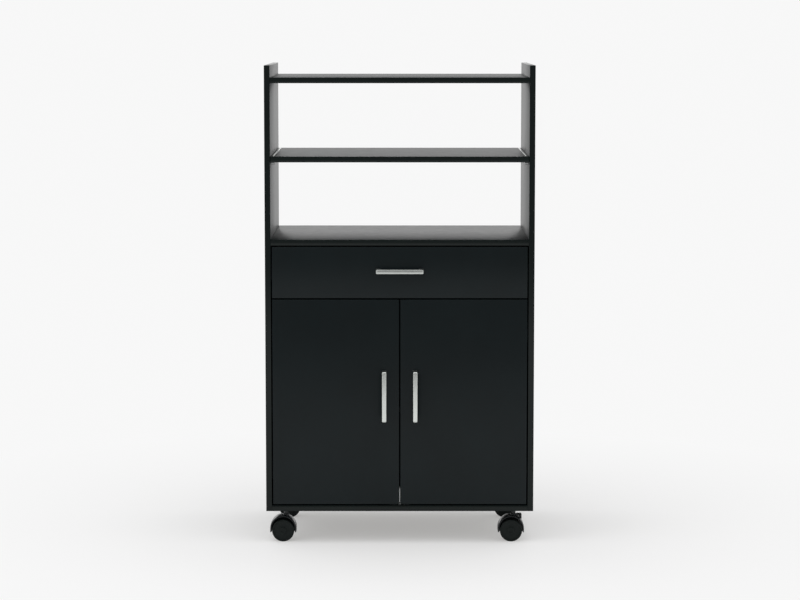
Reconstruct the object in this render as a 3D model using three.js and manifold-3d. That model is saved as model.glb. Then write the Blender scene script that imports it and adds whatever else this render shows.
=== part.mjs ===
// Microwave cart: two open bays over a cabinet with one drawer and a pair of
// doors, standing on four twin-wheel swivel casters.
//
// Millimetres, +Z up. The front faces -Y and +X is to the right of someone who
// stands in front. The origin lies on the floor, under the middle of the
// outline that the case and its handles fill.
import * as THREE from 'three';
import { mergeVertices } from 'three/addons/utils/BufferGeometryUtils.js';
import Module from 'manifold-3d';

const wasm = await Module();
wasm.setup();

// ---------------------------------------------------------------------------
// Driving dimensions
// ---------------------------------------------------------------------------

// Clearances that the whole cart shares.
const SEAM = 0.3; // hairline where two pieces rest on each other
const TURNING_FIT = 0.4; // round a pin, an axle or a stem
const RUNNING_GAP = 0.6; // beside a wheel that turns
const OVERCUT = 20; // how far a cutting block reaches past what it cuts

// Case.
const CASE_WIDTH = 600;
const CASE_DEPTH = 400;
const SIDE_HEIGHT = 998;
const BOARD = 12.7; // sides, shelves, worktop and bottom
const UNDERSIDE_HEIGHT = 74; // floor to the underside of the case
const TOP_SHELF_DROP = 26.5; // top of the sides down to each shelf's top face
const MIDDLE_SHELF_DROP = 201.3;
const WORKTOP_DROP = 386;
const CABINET_SHELF_RISE = 215; // bottom board's top face to the shelf's top face
const CABINET_SHELF_SETBACK = 70; // front of the case to the shelf inside
const SHELF_END_GAP = 1; // each end of a lift-out shelf

// Thin panel behind the cabinet, held in grooves.
const BACK_PANEL = 3;
const BACK_PANEL_INSET = 9; // back of the case to the panel
const GROOVE_DEPTH = 5;

// Shelf pins.
const PIN_RADIUS = 2.5;
const PIN_IN_BOARD = 8;
const PIN_HEAD_RADIUS = 2.9;
const PIN_HEAD_LENGTH = 8;
const PIN_INSET = 38; // front and back edge of the shelf to the pin

// Drawer front and doors.
const FRONT_BOARD = 12.7;
const FRONT_GAP = 3; // above and below each front
const SIDE_GAP = 2.8; // beside each front and between the doors
const DRAWER_FRONT_HEIGHT = 115;

// Bow handles.
const DRAWER_HANDLE_SPACING = 96; // between the two screws
const DOOR_HANDLE_SPACING = 104;
const HANDLE_LEG = 11; // each leg, along the handle
const HANDLE_WIDTH = 10;
const HANDLE_REACH = 28; // front of the case to the front of the handle
const HANDLE_BAR = 8; // thickness of the bar
const HANDLE_CORNER = 6;
const HANDLE_BEVEL = 1.2;
const DRAWER_HANDLE_RISE = 4; // above the middle of the drawer front
const DOOR_HANDLE_RISE = 15; // above the middle of the door
const DOOR_HANDLE_INSET = 33.3; // meeting edge of the door to the handle

// Drawer box.
const DRAWER_BOARD = 12;
const DRAWER_BOX_HEIGHT = 88;
const DRAWER_BACK_ROOM = 30; // back of the box to the panel behind it
const DRAWER_BOX_LIFT = 12; // bottom of the front to the bottom of the box
const DRAWER_BOTTOM = 3;
const DRAWER_BOTTOM_LIFT = 8; // bottom of the box to the bottom panel
const DRAWER_GROOVE = 5;

// Drawer runners: one steel channel slides inside another.
const RUNNER_SPACE = 12.7; // drawer side to the side of the case
const RUNNER_STEEL = 1.2;
const RUNNER_HEIGHT = 36;
const RUNNER_REACH = 9; // depth of each channel
const RUNNER_PLAY = 0.5; // between the flanges of the two channels
const RUNNER_SETBACK = 4; // behind the drawer front
const RUNNER_END_ROOM = 11; // end of the runner to the back of the box
const RUNNER_RISE = 44; // bottom of the box to the middle of the runner

// Concealed door hinges.
const HINGE_FROM_END = 75; // top and bottom of the door to the hinge
const PIVOT_FROM_EDGE = 15; // hinge edge of the door to the pivot
const PIVOT_FROM_FACE = 7; // front face of the door to the pivot
const HINGE_PIN_RADIUS = 1.6;
const HINGE_EYE_WALL = 1.2;
const CUP_RADIUS = 17.5;
const CUP_FROM_EDGE = 5;
const CUP_DEPTH = 10.4;
const CUP_WALL = 1;
const CUP_FLANGE = 1.2;
const CUP_FLANGE_RADIUS = 19;
const CUP_EAR_LENGTH = 52;
const CUP_EAR_WIDTH = 15;
const ARM_STEEL = 2.4;
const ARM_WIDTH = 10;
const ARM_CLEARANCE = 2.5; // between the arm and the door that swings past it
const ARM_KNEE_REACH = 18; // pivot to the knee, across the door
const HINGE_PLATE = 2;
const HINGE_PLATE_DEPTH = 40;
const HINGE_PLATE_HEIGHT = 44;

// Double magnetic catch and its strikes.
const CATCH_WIDTH = 44;
const CATCH_DEPTH = 15;
const CATCH_HEIGHT = 38;
const CATCH_FOOT_DEPTH = 32;
const CATCH_FOOT = 3;
const CATCH_GAP = 0.5; // strike to catch
const CATCH_FIN = 1.2; // thin stop between the two doors
const CATCH_FIN_RISE = 8; // foot of the catch to the fin
const CATCH_FIN_SETBACK = 1.5; // front face of the doors to the fin
const STRIKE = 1.2;
const STRIKE_WIDTH = 16;
const STRIKE_HEIGHT = 26;
const STRIKE_INSET = 3; // meeting edge of the door to the strike
const STRIKE_RISE = 3; // bottom of the door to the strike

// Casters.
const CASTER_SIDE_INSETS = { front: 42.6, back: 45.5 }; // outside of the case to the stem
const CASTER_FRONT_INSET = 40.5;
const CASTER_BACK_INSET = 80;
const CASTER_TRAIL = 6; // stem to axle
const WHEEL_RADIUS = 25;
const WHEEL_WIDTH = 15.5;
const WHEEL_RIM = 3.5; // height of the rim ring on the outer face
const WHEEL_RECESS = 1.6; // outer face inside the rim
const WHEEL_ROUNDING = 1.5;
const WHEEL_CAP = 3; // between the axle's end and the outer face
const AXLE_RADIUS = 3;
const WEB_THICKNESS = 6.4; // plate between the two wheels
const WEB_BOSS_RADIUS = 9;
const HOOD_WALL = 2.8;
const HOOD_SIDE_GAP = 1.6; // wheel tread to the skirts
const HOOD_RAISE = 4.5; // axle up to the centre of the arch
const HOOD_WIDTH = 34;
const HOOD_SKIRT = 8.5; // centre of the arch down to the skirts' ends
const STEM_RADIUS = 5;
const STEM_COLLAR_RADIUS = 7;
const STEM_COLLAR_RISE = 2.5; // above the arch
const STEM_HEAD_RADIUS = 7.5;
const STEM_HEAD = 1.5;
const STEM_HEAD_ROOM = 0.5; // round and above the head, inside the bottom board
const PLATE_SIZE = 42;
const PLATE_THICKNESS = 2;
const SOCKET_RADIUS = 10;
const SOCKET_DROP = 3;

// Brake lever of a locking caster.
const LEVER_PIN_RADIUS = 1.5;
const LEVER_PIN_REACH = 9; // stem to the pin
const LEVER_PIN_RISE = 3.6; // arch to the pin
const LEVER_WIDTH = 12;
const LEVER_EYE_WALL = 1.4;
const LEVER_EAR = 2;
const LEVER_EAR_RADIUS = 3.2;
const LEVER_TAB_LENGTH = 5.5;
const LEVER_TAB_GAP = 2; // arch to the underside of the tab
const LEVER_SHOE_THICKNESS = 3.4;
const LEVER_SHOE_REACH = 14.5; // stem to the shoe
const LEVER_SHOE_GAP = 2.2; // shoe to tread while the brake is off
const LEVER_SLOT_CLEARANCE = 1.2;

// Facets round a full circle.
const WHEEL_SIDES = 20;
const ARCH_STEPS = 7;
const ARCH_SIDES = 28;
const ROUND_SIDES = 18;
const PIN_SIDES = 10;
const CORNER_STEPS = 3;

// ---------------------------------------------------------------------------
// Places worked out from the dimensions
// ---------------------------------------------------------------------------

const frontY = (HANDLE_REACH - CASE_DEPTH) / 2;
const backY = frontY + CASE_DEPTH;
const sideOuterX = CASE_WIDTH / 2;
const sideInnerX = sideOuterX - BOARD;
const sideTop = UNDERSIDE_HEIGHT + SIDE_HEIGHT;

const topShelfTop = sideTop - TOP_SHELF_DROP;
const middleShelfTop = sideTop - MIDDLE_SHELF_DROP;
const worktopTop = sideTop - WORKTOP_DROP;
const worktopUnderside = worktopTop - BOARD;
const bottomTop = UNDERSIDE_HEIGHT + BOARD;
const cabinetShelfTop = bottomTop + CABINET_SHELF_RISE;

const backPanelRear = backY - BACK_PANEL_INSET;
const backPanelFront = backPanelRear - BACK_PANEL;

const drawerFrontTop = worktopUnderside - FRONT_GAP;
const drawerFrontBottom = drawerFrontTop - DRAWER_FRONT_HEIGHT;
const doorTop = drawerFrontBottom - FRONT_GAP;
const doorBottom = bottomTop + FRONT_GAP;
const doorOuterX = sideInnerX - SIDE_GAP;
const doorInnerX = SIDE_GAP / 2;
const frontBackY = frontY + FRONT_BOARD;

// ---------------------------------------------------------------------------
// Finishes
// ---------------------------------------------------------------------------

const finish = (color, roughness, metalness = 0) => ({ color, roughness, metalness });
const BLACK_BOARD = finish(0x1f2424, 0.42);
const BLACK_PANEL = finish(0x232727, 0.6);
const DRAWER_WOOD = finish(0x2a2e2e, 0.55);
const SATIN_NICKEL = finish(0xbfc1bd, 0.32, 1);
const BRIGHT_ZINC = finish(0x9fa2a4, 0.4, 1);
const BLACK_RESIN = finish(0x1b2020, 0.38);
const WHEEL_RESIN = finish(0x23292a, 0.5);
const PALE_RESIN = finish(0xdcdbd4, 0.5);

// ---------------------------------------------------------------------------
// Solids
// ---------------------------------------------------------------------------

/** Position-only copy of a geometry with shared vertices and no thin faces. */
function welded(geometry) {
  const bare = geometry.clone();
  bare.deleteAttribute('normal');
  bare.deleteAttribute('uv');
  const merged = mergeVertices(bare);
  const source = merged.index.array;
  const kept = [];
  for (let face = 0; face < source.length; face += 3) {
    const [a, b, c] = [source[face], source[face + 1], source[face + 2]];
    if (a !== b && b !== c && c !== a) {
      kept.push(a, b, c);
    }
  }
  merged.setIndex(kept);
  return merged;
}

/** Manifold solid of a closed geometry. */
function solidOf(geometry) {
  const source = welded(geometry);
  return new wasm.Manifold(new wasm.Mesh({
    numProp: 3,
    vertProperties: new Float32Array(source.attributes.position.array),
    triVerts: new Uint32Array(source.index.array),
  }));
}

/** Geometry of a manifold solid. */
function geometryOf(solid) {
  const result = solid.getMesh();
  const geometry = new THREE.BufferGeometry();
  geometry.setAttribute('position', new THREE.BufferAttribute(result.vertProperties, 3));
  geometry.setIndex(new THREE.BufferAttribute(result.triVerts, 1));
  return geometry;
}

/** Joins or cuts a mesh with others that stand in the same group. */
function combined(mesh, others, operation) {
  mesh.updateMatrix();
  const toMesh = mesh.matrix.clone().invert();
  let solid = solidOf(mesh.geometry);
  for (const other of others) {
    other.updateMatrix();
    const geometry = other.geometry.clone().applyMatrix4(other.matrix).applyMatrix4(toMesh);
    solid = solid[operation](solidOf(geometry));
  }
  mesh.geometry = geometryOf(solid);
  return mesh;
}

const joined = (mesh, ...others) => combined(mesh, others, 'add');
const cut = (mesh, ...others) => combined(mesh, others, 'subtract');
const middle = ([low, high]) => (low + high) / 2;
const span = ([low, high]) => high - low;

/** Range from one value to another, whichever is the larger. */
const range = (a, b) => [Math.min(a, b), Math.max(a, b)];

/** Rectangular block between three ranges. */
function block(x, y, z) {
  const mesh = new THREE.Mesh(new THREE.BoxGeometry(span(x), span(y), span(z)));
  mesh.position.set(middle(x), middle(y), middle(z));
  return mesh;
}

/** Round bar along X, Y or Z, between two places on that axis. */
function rod(axis, radius, [low, high], sides = ROUND_SIDES) {
  const mesh = new THREE.Mesh(new THREE.CylinderGeometry(radius, radius, high - low, sides));
  mesh.position[axis] = (low + high) / 2;
  mesh.rotation.x = axis === 'z' ? Math.PI / 2 : 0;
  mesh.rotation.z = axis === 'x' ? Math.PI / 2 : 0;
  return mesh;
}

/** The same mesh, moved. */
function moved(mesh, x, y, z) {
  mesh.position.add(new THREE.Vector3(x, y, z));
  return mesh;
}

/** Outline in the XY plane, drawn up along Z from zero. */
function prism(shape, depth, options = {}) {
  return new THREE.Mesh(new THREE.ExtrudeGeometry(shape, { depth, bevelEnabled: false, ...options }));
}

/** Outline in the XZ plane, drawn along Y between two places. */
function prismAlongY(shape, [low, high], curveSegments = ARCH_STEPS) {
  const mesh = prism(shape, high - low, { curveSegments });
  mesh.rotation.x = Math.PI / 2;
  mesh.position.y = high;
  return mesh;
}

/** Profile of radius and height, turned round Y. */
function turned(profile, sides) {
  const points = profile.map(([radius, height]) => new THREE.Vector2(radius, height));
  return new THREE.Mesh(new THREE.LatheGeometry(points, sides));
}

/** Outline of a bar of even thickness along a line of points, with mitred bends. */
function stripShape(line, thickness) {
  const points = line.map(([x, y]) => new THREE.Vector2(x, y));
  const edges = [[], []];
  points.forEach((point, index) => {
    const before = points[Math.max(index - 1, 0)];
    const after = points[Math.min(index + 1, points.length - 1)];
    const incoming = (index > 0 ? point.clone().sub(before) : after.clone().sub(point)).normalize();
    const outgoing = (after !== point ? after.clone().sub(point) : incoming.clone()).normalize();
    const normal = new THREE.Vector2(-incoming.y - outgoing.y, incoming.x + outgoing.x).normalize();
    const reach = thickness / 2 / (normal.x * -incoming.y + normal.y * incoming.x);
    edges[0].push(point.clone().addScaledVector(normal, reach));
    edges[1].unshift(point.clone().addScaledVector(normal, -reach));
  });
  return new THREE.Shape([...edges[0], ...edges[1]]);
}

/** Gives a mesh its name and its own material, ready to stand in the cart. */
function named(mesh, name, surface) {
  mesh.name = name;
  mesh.geometry = welded(mesh.geometry);
  mesh.material = new THREE.MeshStandardMaterial(surface);
  return mesh;
}

const word = (side) => (side < 0 ? 'left' : 'right');
const SIDES = [-1, 1];

// ---------------------------------------------------------------------------
// Case
// ---------------------------------------------------------------------------

const upperPinZ = middleShelfTop - BOARD - SEAM - PIN_HEAD_RADIUS;
const lowerPinZ = cabinetShelfTop - BOARD - SEAM - PIN_HEAD_RADIUS;
const cabinetShelfY = [frontY + CABINET_SHELF_SETBACK, backPanelFront - SHELF_END_GAP];

/** The four places on one side where a shelf pin stands: name, Y and Z. */
const PIN_PLACES = [
  ['upper_front', frontY + PIN_INSET, upperPinZ],
  ['upper_back', backY - PIN_INSET, upperPinZ],
  ['lower_front', cabinetShelfY[0] + PIN_INSET, lowerPinZ],
  ['lower_back', cabinetShelfY[1] - PIN_INSET, lowerPinZ],
];

/** Slot for the back panel, a block from one case piece's face into its board. */
function backPanelSlot(x, z) {
  return block(x, [backPanelFront - SEAM, backPanelRear + SEAM], z);
}

function sidePanel(side) {
  const panel = block(
    range(side * sideInnerX, side * sideOuterX),
    [frontY, backY],
    [UNDERSIDE_HEIGHT, sideTop],
  );
  const holeDepth = PIN_IN_BOARD + SEAM;
  const holes = PIN_PLACES.map(([, y, z]) => {
    const hole = rod('x', PIN_RADIUS + SEAM, [-holeDepth, holeDepth], PIN_SIDES);
    return moved(hole, side * sideInnerX, y, z);
  });
  const grooveX = range(side * (sideInnerX - OVERCUT), side * (sideInnerX + GROOVE_DEPTH));
  const groove = backPanelSlot(grooveX, [bottomTop - GROOVE_DEPTH, worktopUnderside + GROOVE_DEPTH]);
  return named(cut(panel, groove, ...holes), `${word(side)}_side_panel`, BLACK_BOARD);
}

/** Horizontal board between the two sides, given its top face. */
function crossBoard(top, endGap = SEAM, y = [frontY, backY]) {
  const half = sideInnerX - endGap;
  return block([-half, half], y, [top - BOARD, top]);
}

function worktop() {
  const groove = backPanelSlot(
    [-sideOuterX, sideOuterX],
    [worktopUnderside - OVERCUT, worktopUnderside + GROOVE_DEPTH],
  );
  return named(cut(crossBoard(worktopTop), groove), 'worktop', BLACK_BOARD);
}

function bottomBoard() {
  const groove = backPanelSlot([-sideOuterX, sideOuterX], [bottomTop - GROOVE_DEPTH, bottomTop + OVERCUT]);
  const recesses = CASTER_PLACES.map(([, x, y]) => {
    const top = UNDERSIDE_HEIGHT + STEM_HEAD + STEM_HEAD_ROOM;
    return moved(rod('z', STEM_HEAD_RADIUS + STEM_HEAD_ROOM, [top - OVERCUT, top]), x, y, 0);
  });
  return named(cut(crossBoard(bottomTop), groove, ...recesses), 'bottom_board', BLACK_BOARD);
}

function backPanel() {
  const reach = GROOVE_DEPTH - SEAM;
  const panel = block(
    [-sideInnerX - reach, sideInnerX + reach],
    [backPanelFront, backPanelRear],
    [bottomTop - reach, worktopUnderside + reach],
  );
  return named(panel, 'back_panel', BLACK_PANEL);
}

function shelfPins() {
  const profile = [
    [0, -PIN_IN_BOARD],
    [PIN_RADIUS, -PIN_IN_BOARD],
    [PIN_RADIUS, SEAM],
    [PIN_HEAD_RADIUS, SEAM],
    [PIN_HEAD_RADIUS, PIN_HEAD_LENGTH],
    [0, PIN_HEAD_LENGTH],
  ];
  return SIDES.flatMap((side) => PIN_PLACES.map(([place, y, z]) => {
    const pin = turned(profile, PIN_SIDES);
    pin.rotation.z = side * Math.PI / 2;
    pin.position.set(side * sideInnerX, y, z);
    return named(pin, `${word(side)}_${place}_shelf_pin`, BRIGHT_ZINC);
  }));
}

function caseGroup() {
  const group = new THREE.Group();
  group.add(...SIDES.map(sidePanel));
  group.add(named(crossBoard(topShelfTop), 'top_shelf', BLACK_BOARD));
  group.add(named(crossBoard(middleShelfTop, SHELF_END_GAP), 'middle_shelf', BLACK_BOARD));
  group.add(worktop());
  group.add(bottomBoard());
  group.add(backPanel());
  const cabinetShelf = crossBoard(cabinetShelfTop, SHELF_END_GAP, cabinetShelfY);
  group.add(named(cabinetShelf, 'cabinet_shelf', BLACK_BOARD));
  group.add(...shelfPins());
  return group;
}

// ---------------------------------------------------------------------------
// Bow handles
// ---------------------------------------------------------------------------

/** Outline of a bow handle: its length along X, its reach along Y. */
function handleShape(spacing) {
  const half = (spacing + HANDLE_LEG) / 2 - HANDLE_BEVEL;
  const foot = SEAM + HANDLE_BEVEL;
  const top = HANDLE_REACH - HANDLE_BEVEL;
  const inner = half - HANDLE_LEG + 2 * HANDLE_BEVEL;
  const ceiling = top - HANDLE_BAR + 2 * HANDLE_BEVEL;
  const shape = new THREE.Shape();
  shape.moveTo(-half, foot);
  shape.lineTo(-inner, foot);
  shape.lineTo(-inner, ceiling);
  shape.lineTo(inner, ceiling);
  shape.lineTo(inner, foot);
  shape.lineTo(half, foot);
  shape.lineTo(half, top - HANDLE_CORNER);
  shape.absarc(half - HANDLE_CORNER, top - HANDLE_CORNER, HANDLE_CORNER, 0, Math.PI / 2);
  shape.absarc(HANDLE_CORNER - half, top - HANDLE_CORNER, HANDLE_CORNER, Math.PI / 2, Math.PI);
  return shape;
}

/** Bow handle on a front, lying along X on the drawer or standing along Z on a door. */
function handle(name, x, z, upright) {
  const spacing = upright ? DOOR_HANDLE_SPACING : DRAWER_HANDLE_SPACING;
  const bow = prism(handleShape(spacing), HANDLE_WIDTH - 2 * HANDLE_BEVEL, {
    bevelEnabled: true,
    bevelSize: HANDLE_BEVEL,
    bevelThickness: HANDLE_BEVEL,
    bevelSegments: 1,
    curveSegments: CORNER_STEPS,
  });
  bow.rotation.x = Math.PI;
  bow.position.z = HANDLE_WIDTH / 2 - HANDLE_BEVEL;
  const group = new THREE.Group();
  group.position.set(x, frontY, z);
  group.rotation.y = upright ? Math.PI / 2 : 0;
  group.add(named(bow, name, SATIN_NICKEL));
  return group;
}

// ---------------------------------------------------------------------------
// Doors and their hinges
// ---------------------------------------------------------------------------

const doorMiddleZ = (doorTop + doorBottom) / 2;
const hingeHeights = [['upper', doorTop - HINGE_FROM_END], ['lower', doorBottom + HINGE_FROM_END]];
const pivotX = doorOuterX - PIVOT_FROM_EDGE;
const pivotY = frontY + PIVOT_FROM_FACE;
const cupFromPivot = CUP_FROM_EDGE + CUP_RADIUS - PIVOT_FROM_EDGE;
const doorBackFromPivot = FRONT_BOARD - PIVOT_FROM_FACE;
const eyeRadius = HINGE_PIN_RADIUS + TURNING_FIT + HINGE_EYE_WALL;

/** Cup in the back of a door, with the pin that the door turns on. */
function hingeCup(side, level) {
  const rim = doorBackFromPivot + SEAM;
  const floor = doorBackFromPivot - CUP_DEPTH;
  const middleX = -side * cupFromPivot;
  const cup = moved(rod('y', CUP_RADIUS, [floor, rim + CUP_FLANGE]), middleX, 0, 0);
  const flange = moved(rod('y', CUP_FLANGE_RADIUS, [rim, rim + CUP_FLANGE]), middleX, 0, 0);
  const ears = block(
    range(middleX - CUP_EAR_WIDTH / 2, middleX + CUP_EAR_WIDTH / 2),
    [rim, rim + CUP_FLANGE],
    [-CUP_EAR_LENGTH / 2, CUP_EAR_LENGTH / 2],
  );
  const hollowRadius = CUP_RADIUS - CUP_WALL;
  const hollow = moved(rod('y', hollowRadius, [floor + CUP_WALL, rim + OVERCUT]), middleX, 0, 0);
  const pinHalf = Math.sqrt(CUP_RADIUS ** 2 - (cupFromPivot + HINGE_PIN_RADIUS) ** 2) - CUP_WALL / 3;
  const pin = rod('z', HINGE_PIN_RADIUS, [-pinHalf, pinHalf], PIN_SIDES);
  const whole = joined(cut(joined(cup, flange, ears), hollow), pin);
  return named(whole, `${word(side)}_${level}_hinge_cup`, BRIGHT_ZINC);
}

/** Arm from the pin, round the door's edge, to its plate on the side panel. */
function hingeArm(side, level) {
  const inward = -side;
  const sweep = Math.hypot(PIVOT_FROM_EDGE, Math.max(PIVOT_FROM_FACE, doorBackFromPivot));
  const kneeY = doorBackFromPivot + SEAM + CUP_FLANGE + ARM_CLEARANCE + ARM_STEEL / 2;
  const bridgeY = sweep + ARM_CLEARANCE + ARM_STEEL / 2;
  const plateOuter = PIVOT_FROM_EDGE + SIDE_GAP - SEAM;
  const plateMiddle = plateOuter - HINGE_PLATE / 2;
  const line = [
    [0, 0],
    [inward * ARM_KNEE_REACH, kneeY],
    [inward * ARM_KNEE_REACH, bridgeY],
    [-inward * plateMiddle, bridgeY],
  ];
  const strip = moved(prism(stripShape(line, ARM_STEEL), ARM_WIDTH), 0, 0, -ARM_WIDTH / 2);
  const eye = rod('z', eyeRadius, [-ARM_WIDTH / 2, ARM_WIDTH / 2], ROUND_SIDES);
  const plate = block(
    range(side * plateOuter, side * (plateOuter - HINGE_PLATE)),
    [bridgeY - ARM_STEEL, bridgeY - ARM_STEEL + HINGE_PLATE_DEPTH],
    [-HINGE_PLATE_HEIGHT / 2, HINGE_PLATE_HEIGHT / 2],
  );
  const bore = rod('z', HINGE_PIN_RADIUS + TURNING_FIT, [-OVERCUT, OVERCUT], PIN_SIDES);
  const arm = cut(joined(strip, eye, plate), bore);
  return named(arm, `${word(side)}_${level}_hinge_arm`, BRIGHT_ZINC);
}

function door(side) {
  const panel = block(
    range(side * doorInnerX, side * doorOuterX),
    [frontY, frontBackY],
    [doorBottom, doorTop],
  );
  const pockets = hingeHeights.map(([, z]) => {
    const pocket = rod('y', CUP_RADIUS + SEAM, [frontBackY - CUP_DEPTH - SEAM, frontBackY + OVERCUT]);
    return moved(pocket, side * (pivotX - cupFromPivot), 0, z);
  });
  return named(cut(panel, ...pockets), `${word(side)}_door`, BLACK_BOARD);
}

function strike(side) {
  const nearX = doorInnerX + STRIKE_INSET;
  const bottom = doorBottom + STRIKE_RISE;
  const plate = block(
    range(side * nearX, side * (nearX + STRIKE_WIDTH)),
    [frontBackY + SEAM, frontBackY + SEAM + STRIKE],
    [bottom, bottom + STRIKE_HEIGHT],
  );
  return named(plate, `${word(side)}_strike`, BRIGHT_ZINC);
}

/** Pale double catch that stands on the bottom board behind both doors. */
function doorCatch() {
  const faceY = frontBackY + SEAM + STRIKE + CATCH_GAP;
  const half = [-CATCH_WIDTH / 2, CATCH_WIDTH / 2];
  const seat = bottomTop + SEAM;
  const body = block(half, [faceY, faceY + CATCH_DEPTH], [seat, seat + CATCH_HEIGHT]);
  const foot = block(half, [faceY, faceY + CATCH_FOOT_DEPTH], [seat, seat + CATCH_FOOT]);
  const fin = block(
    [-CATCH_FIN / 2, CATCH_FIN / 2],
    [frontY + CATCH_FIN_SETBACK, faceY + CATCH_DEPTH / 2],
    [seat + CATCH_FIN_RISE, seat + CATCH_HEIGHT],
  );
  return named(joined(body, foot, fin), 'door_catch', PALE_RESIN);
}

function doorsGroup() {
  const group = new THREE.Group();
  for (const side of SIDES) {
    group.add(door(side), strike(side));
    const handleX = side * (doorInnerX + DOOR_HANDLE_INSET);
    group.add(handle(`${word(side)}_door_handle`, handleX, doorMiddleZ + DOOR_HANDLE_RISE, true));
    for (const [level, z] of hingeHeights) {
      const hinge = new THREE.Group();
      hinge.position.set(side * pivotX, pivotY, z);
      hinge.add(hingeCup(side, level), hingeArm(side, level));
      group.add(hinge);
    }
  }
  group.add(doorCatch());
  return group;
}

// ---------------------------------------------------------------------------
// Drawer and its runners
// ---------------------------------------------------------------------------

const drawerSideOuter = sideInnerX - RUNNER_SPACE;
const drawerSideInner = drawerSideOuter - DRAWER_BOARD;
const drawerBoxBottom = drawerFrontBottom + DRAWER_BOX_LIFT;
const drawerBoxTop = drawerBoxBottom + DRAWER_BOX_HEIGHT;
const drawerBoxFront = frontBackY + SEAM;
const drawerBoxBack = backPanelFront - DRAWER_BACK_ROOM;
const drawerBackFront = drawerBoxBack - DRAWER_BOARD;
const drawerPanelZ = [
  drawerBoxBottom + DRAWER_BOTTOM_LIFT,
  drawerBoxBottom + DRAWER_BOTTOM_LIFT + DRAWER_BOTTOM,
];
const runnerZ = drawerBoxBottom + RUNNER_RISE;

/** Groove for the drawer's bottom panel, as deep into each board round it. */
function drawerGroove() {
  return block(
    [-drawerSideInner - DRAWER_GROOVE, drawerSideInner + DRAWER_GROOVE],
    [frontBackY - DRAWER_GROOVE, drawerBackFront + DRAWER_GROOVE],
    [drawerPanelZ[0] - SEAM, drawerPanelZ[1] + SEAM],
  );
}

/** Steel channel along Y: its web against X zero, its flanges towards X. */
function channel(towards, height) {
  const half = height / 2;
  const shape = new THREE.Shape([
    [0, -half],
    [RUNNER_REACH, -half],
    [RUNNER_REACH, -half + RUNNER_STEEL],
    [RUNNER_STEEL, -half + RUNNER_STEEL],
    [RUNNER_STEEL, half - RUNNER_STEEL],
    [RUNNER_REACH, half - RUNNER_STEEL],
    [RUNNER_REACH, half],
    [0, half],
  ].map(([x, y]) => new THREE.Vector2(towards * x, y)));
  return prismAlongY(shape, [drawerBoxFront + RUNNER_SETBACK, drawerBoxBack - RUNNER_END_ROOM]);
}

function drawerGroup() {
  const group = new THREE.Group();
  const boxZ = [drawerBoxBottom, drawerBoxTop];
  const front = block(
    [-doorOuterX, doorOuterX],
    [frontY, frontBackY],
    [drawerFrontBottom, drawerFrontTop],
  );
  group.add(named(cut(front, drawerGroove()), 'drawer_front', BLACK_BOARD));
  for (const side of SIDES) {
    const sideX = range(side * drawerSideInner, side * drawerSideOuter);
    const board = block(sideX, [drawerBoxFront, drawerBoxBack], boxZ);
    group.add(named(cut(board, drawerGroove()), `drawer_${word(side)}_side`, DRAWER_WOOD));
  }
  const backHalf = drawerSideInner - SEAM;
  const back = block([-backHalf, backHalf], [drawerBackFront, drawerBoxBack], boxZ);
  group.add(named(cut(back, drawerGroove()), 'drawer_back', DRAWER_WOOD));
  const reach = DRAWER_GROOVE - SEAM;
  const panel = block(
    [-drawerSideInner - reach, drawerSideInner + reach],
    [frontBackY - reach, drawerBackFront + reach],
    drawerPanelZ,
  );
  group.add(named(panel, 'drawer_bottom', BLACK_PANEL));
  const handleZ = (drawerFrontTop + drawerFrontBottom) / 2 + DRAWER_HANDLE_RISE;
  group.add(handle('drawer_handle', 0, handleZ, false));
  return group;
}

function runnersGroup() {
  const group = new THREE.Group();
  const innerHeight = RUNNER_HEIGHT - 2 * (RUNNER_STEEL + RUNNER_PLAY);
  for (const side of SIDES) {
    const fixed = channel(-side, RUNNER_HEIGHT);
    group.add(named(fixed, `${word(side)}_case_runner`, BRIGHT_ZINC));
    moved(fixed, side * (sideInnerX - SEAM), 0, runnerZ);
    const sliding = channel(side, innerHeight);
    group.add(named(sliding, `${word(side)}_drawer_runner`, BRIGHT_ZINC));
    moved(sliding, side * (drawerSideOuter + SEAM), 0, runnerZ);
  }
  return group;
}

// ---------------------------------------------------------------------------
// Casters. Each stands in a group with its stem along Z through the origin
// and its axle along Y, a short trail to the -X side of the stem.
// ---------------------------------------------------------------------------

const frontCasterX = sideOuterX - CASTER_SIDE_INSETS.front;
const backCasterX = sideOuterX - CASTER_SIDE_INSETS.back;

/** Name, X, Y and whether the caster has a brake. */
const CASTER_PLACES = [
  ['front_left', -frontCasterX, frontY + CASTER_FRONT_INSET, false],
  ['front_right', frontCasterX, frontY + CASTER_FRONT_INSET, true],
  ['back_left', -backCasterX, backY - CASTER_BACK_INSET, true],
  ['back_right', backCasterX, backY - CASTER_BACK_INSET, false],
];

const axleX = -CASTER_TRAIL;
const archInner = WHEEL_RADIUS + HOOD_SIDE_GAP;
const archOuter = archInner + HOOD_WALL;
const archZ = WHEEL_RADIUS + HOOD_RAISE;
const skirtZ = archZ - HOOD_SKIRT;
const hoodTop = archZ + archOuter;
const plateTop = UNDERSIDE_HEIGHT - SEAM;
const plateUnderside = plateTop - PLATE_THICKNESS;
const wheelInnerY = WEB_THICKNESS / 2 + RUNNING_GAP;

/** Height of the arch's outer face at a distance from the stem. */
const archHeightAt = (x) => archZ + Math.sqrt(archOuter ** 2 - (x - axleX) ** 2);

function casterPlate(place) {
  const half = PLATE_SIZE / 2;
  const plate = block([-half, half], [-half, half], [plateUnderside, plateTop]);
  const socket = rod('z', SOCKET_RADIUS, [plateUnderside - SOCKET_DROP, plateTop]);
  const bore = rod('z', STEM_RADIUS + SEAM, [plateUnderside - OVERCUT, plateTop + OVERCUT]);
  return named(cut(joined(plate, socket), bore), `${place}_caster_plate`, BRIGHT_ZINC);
}

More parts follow.
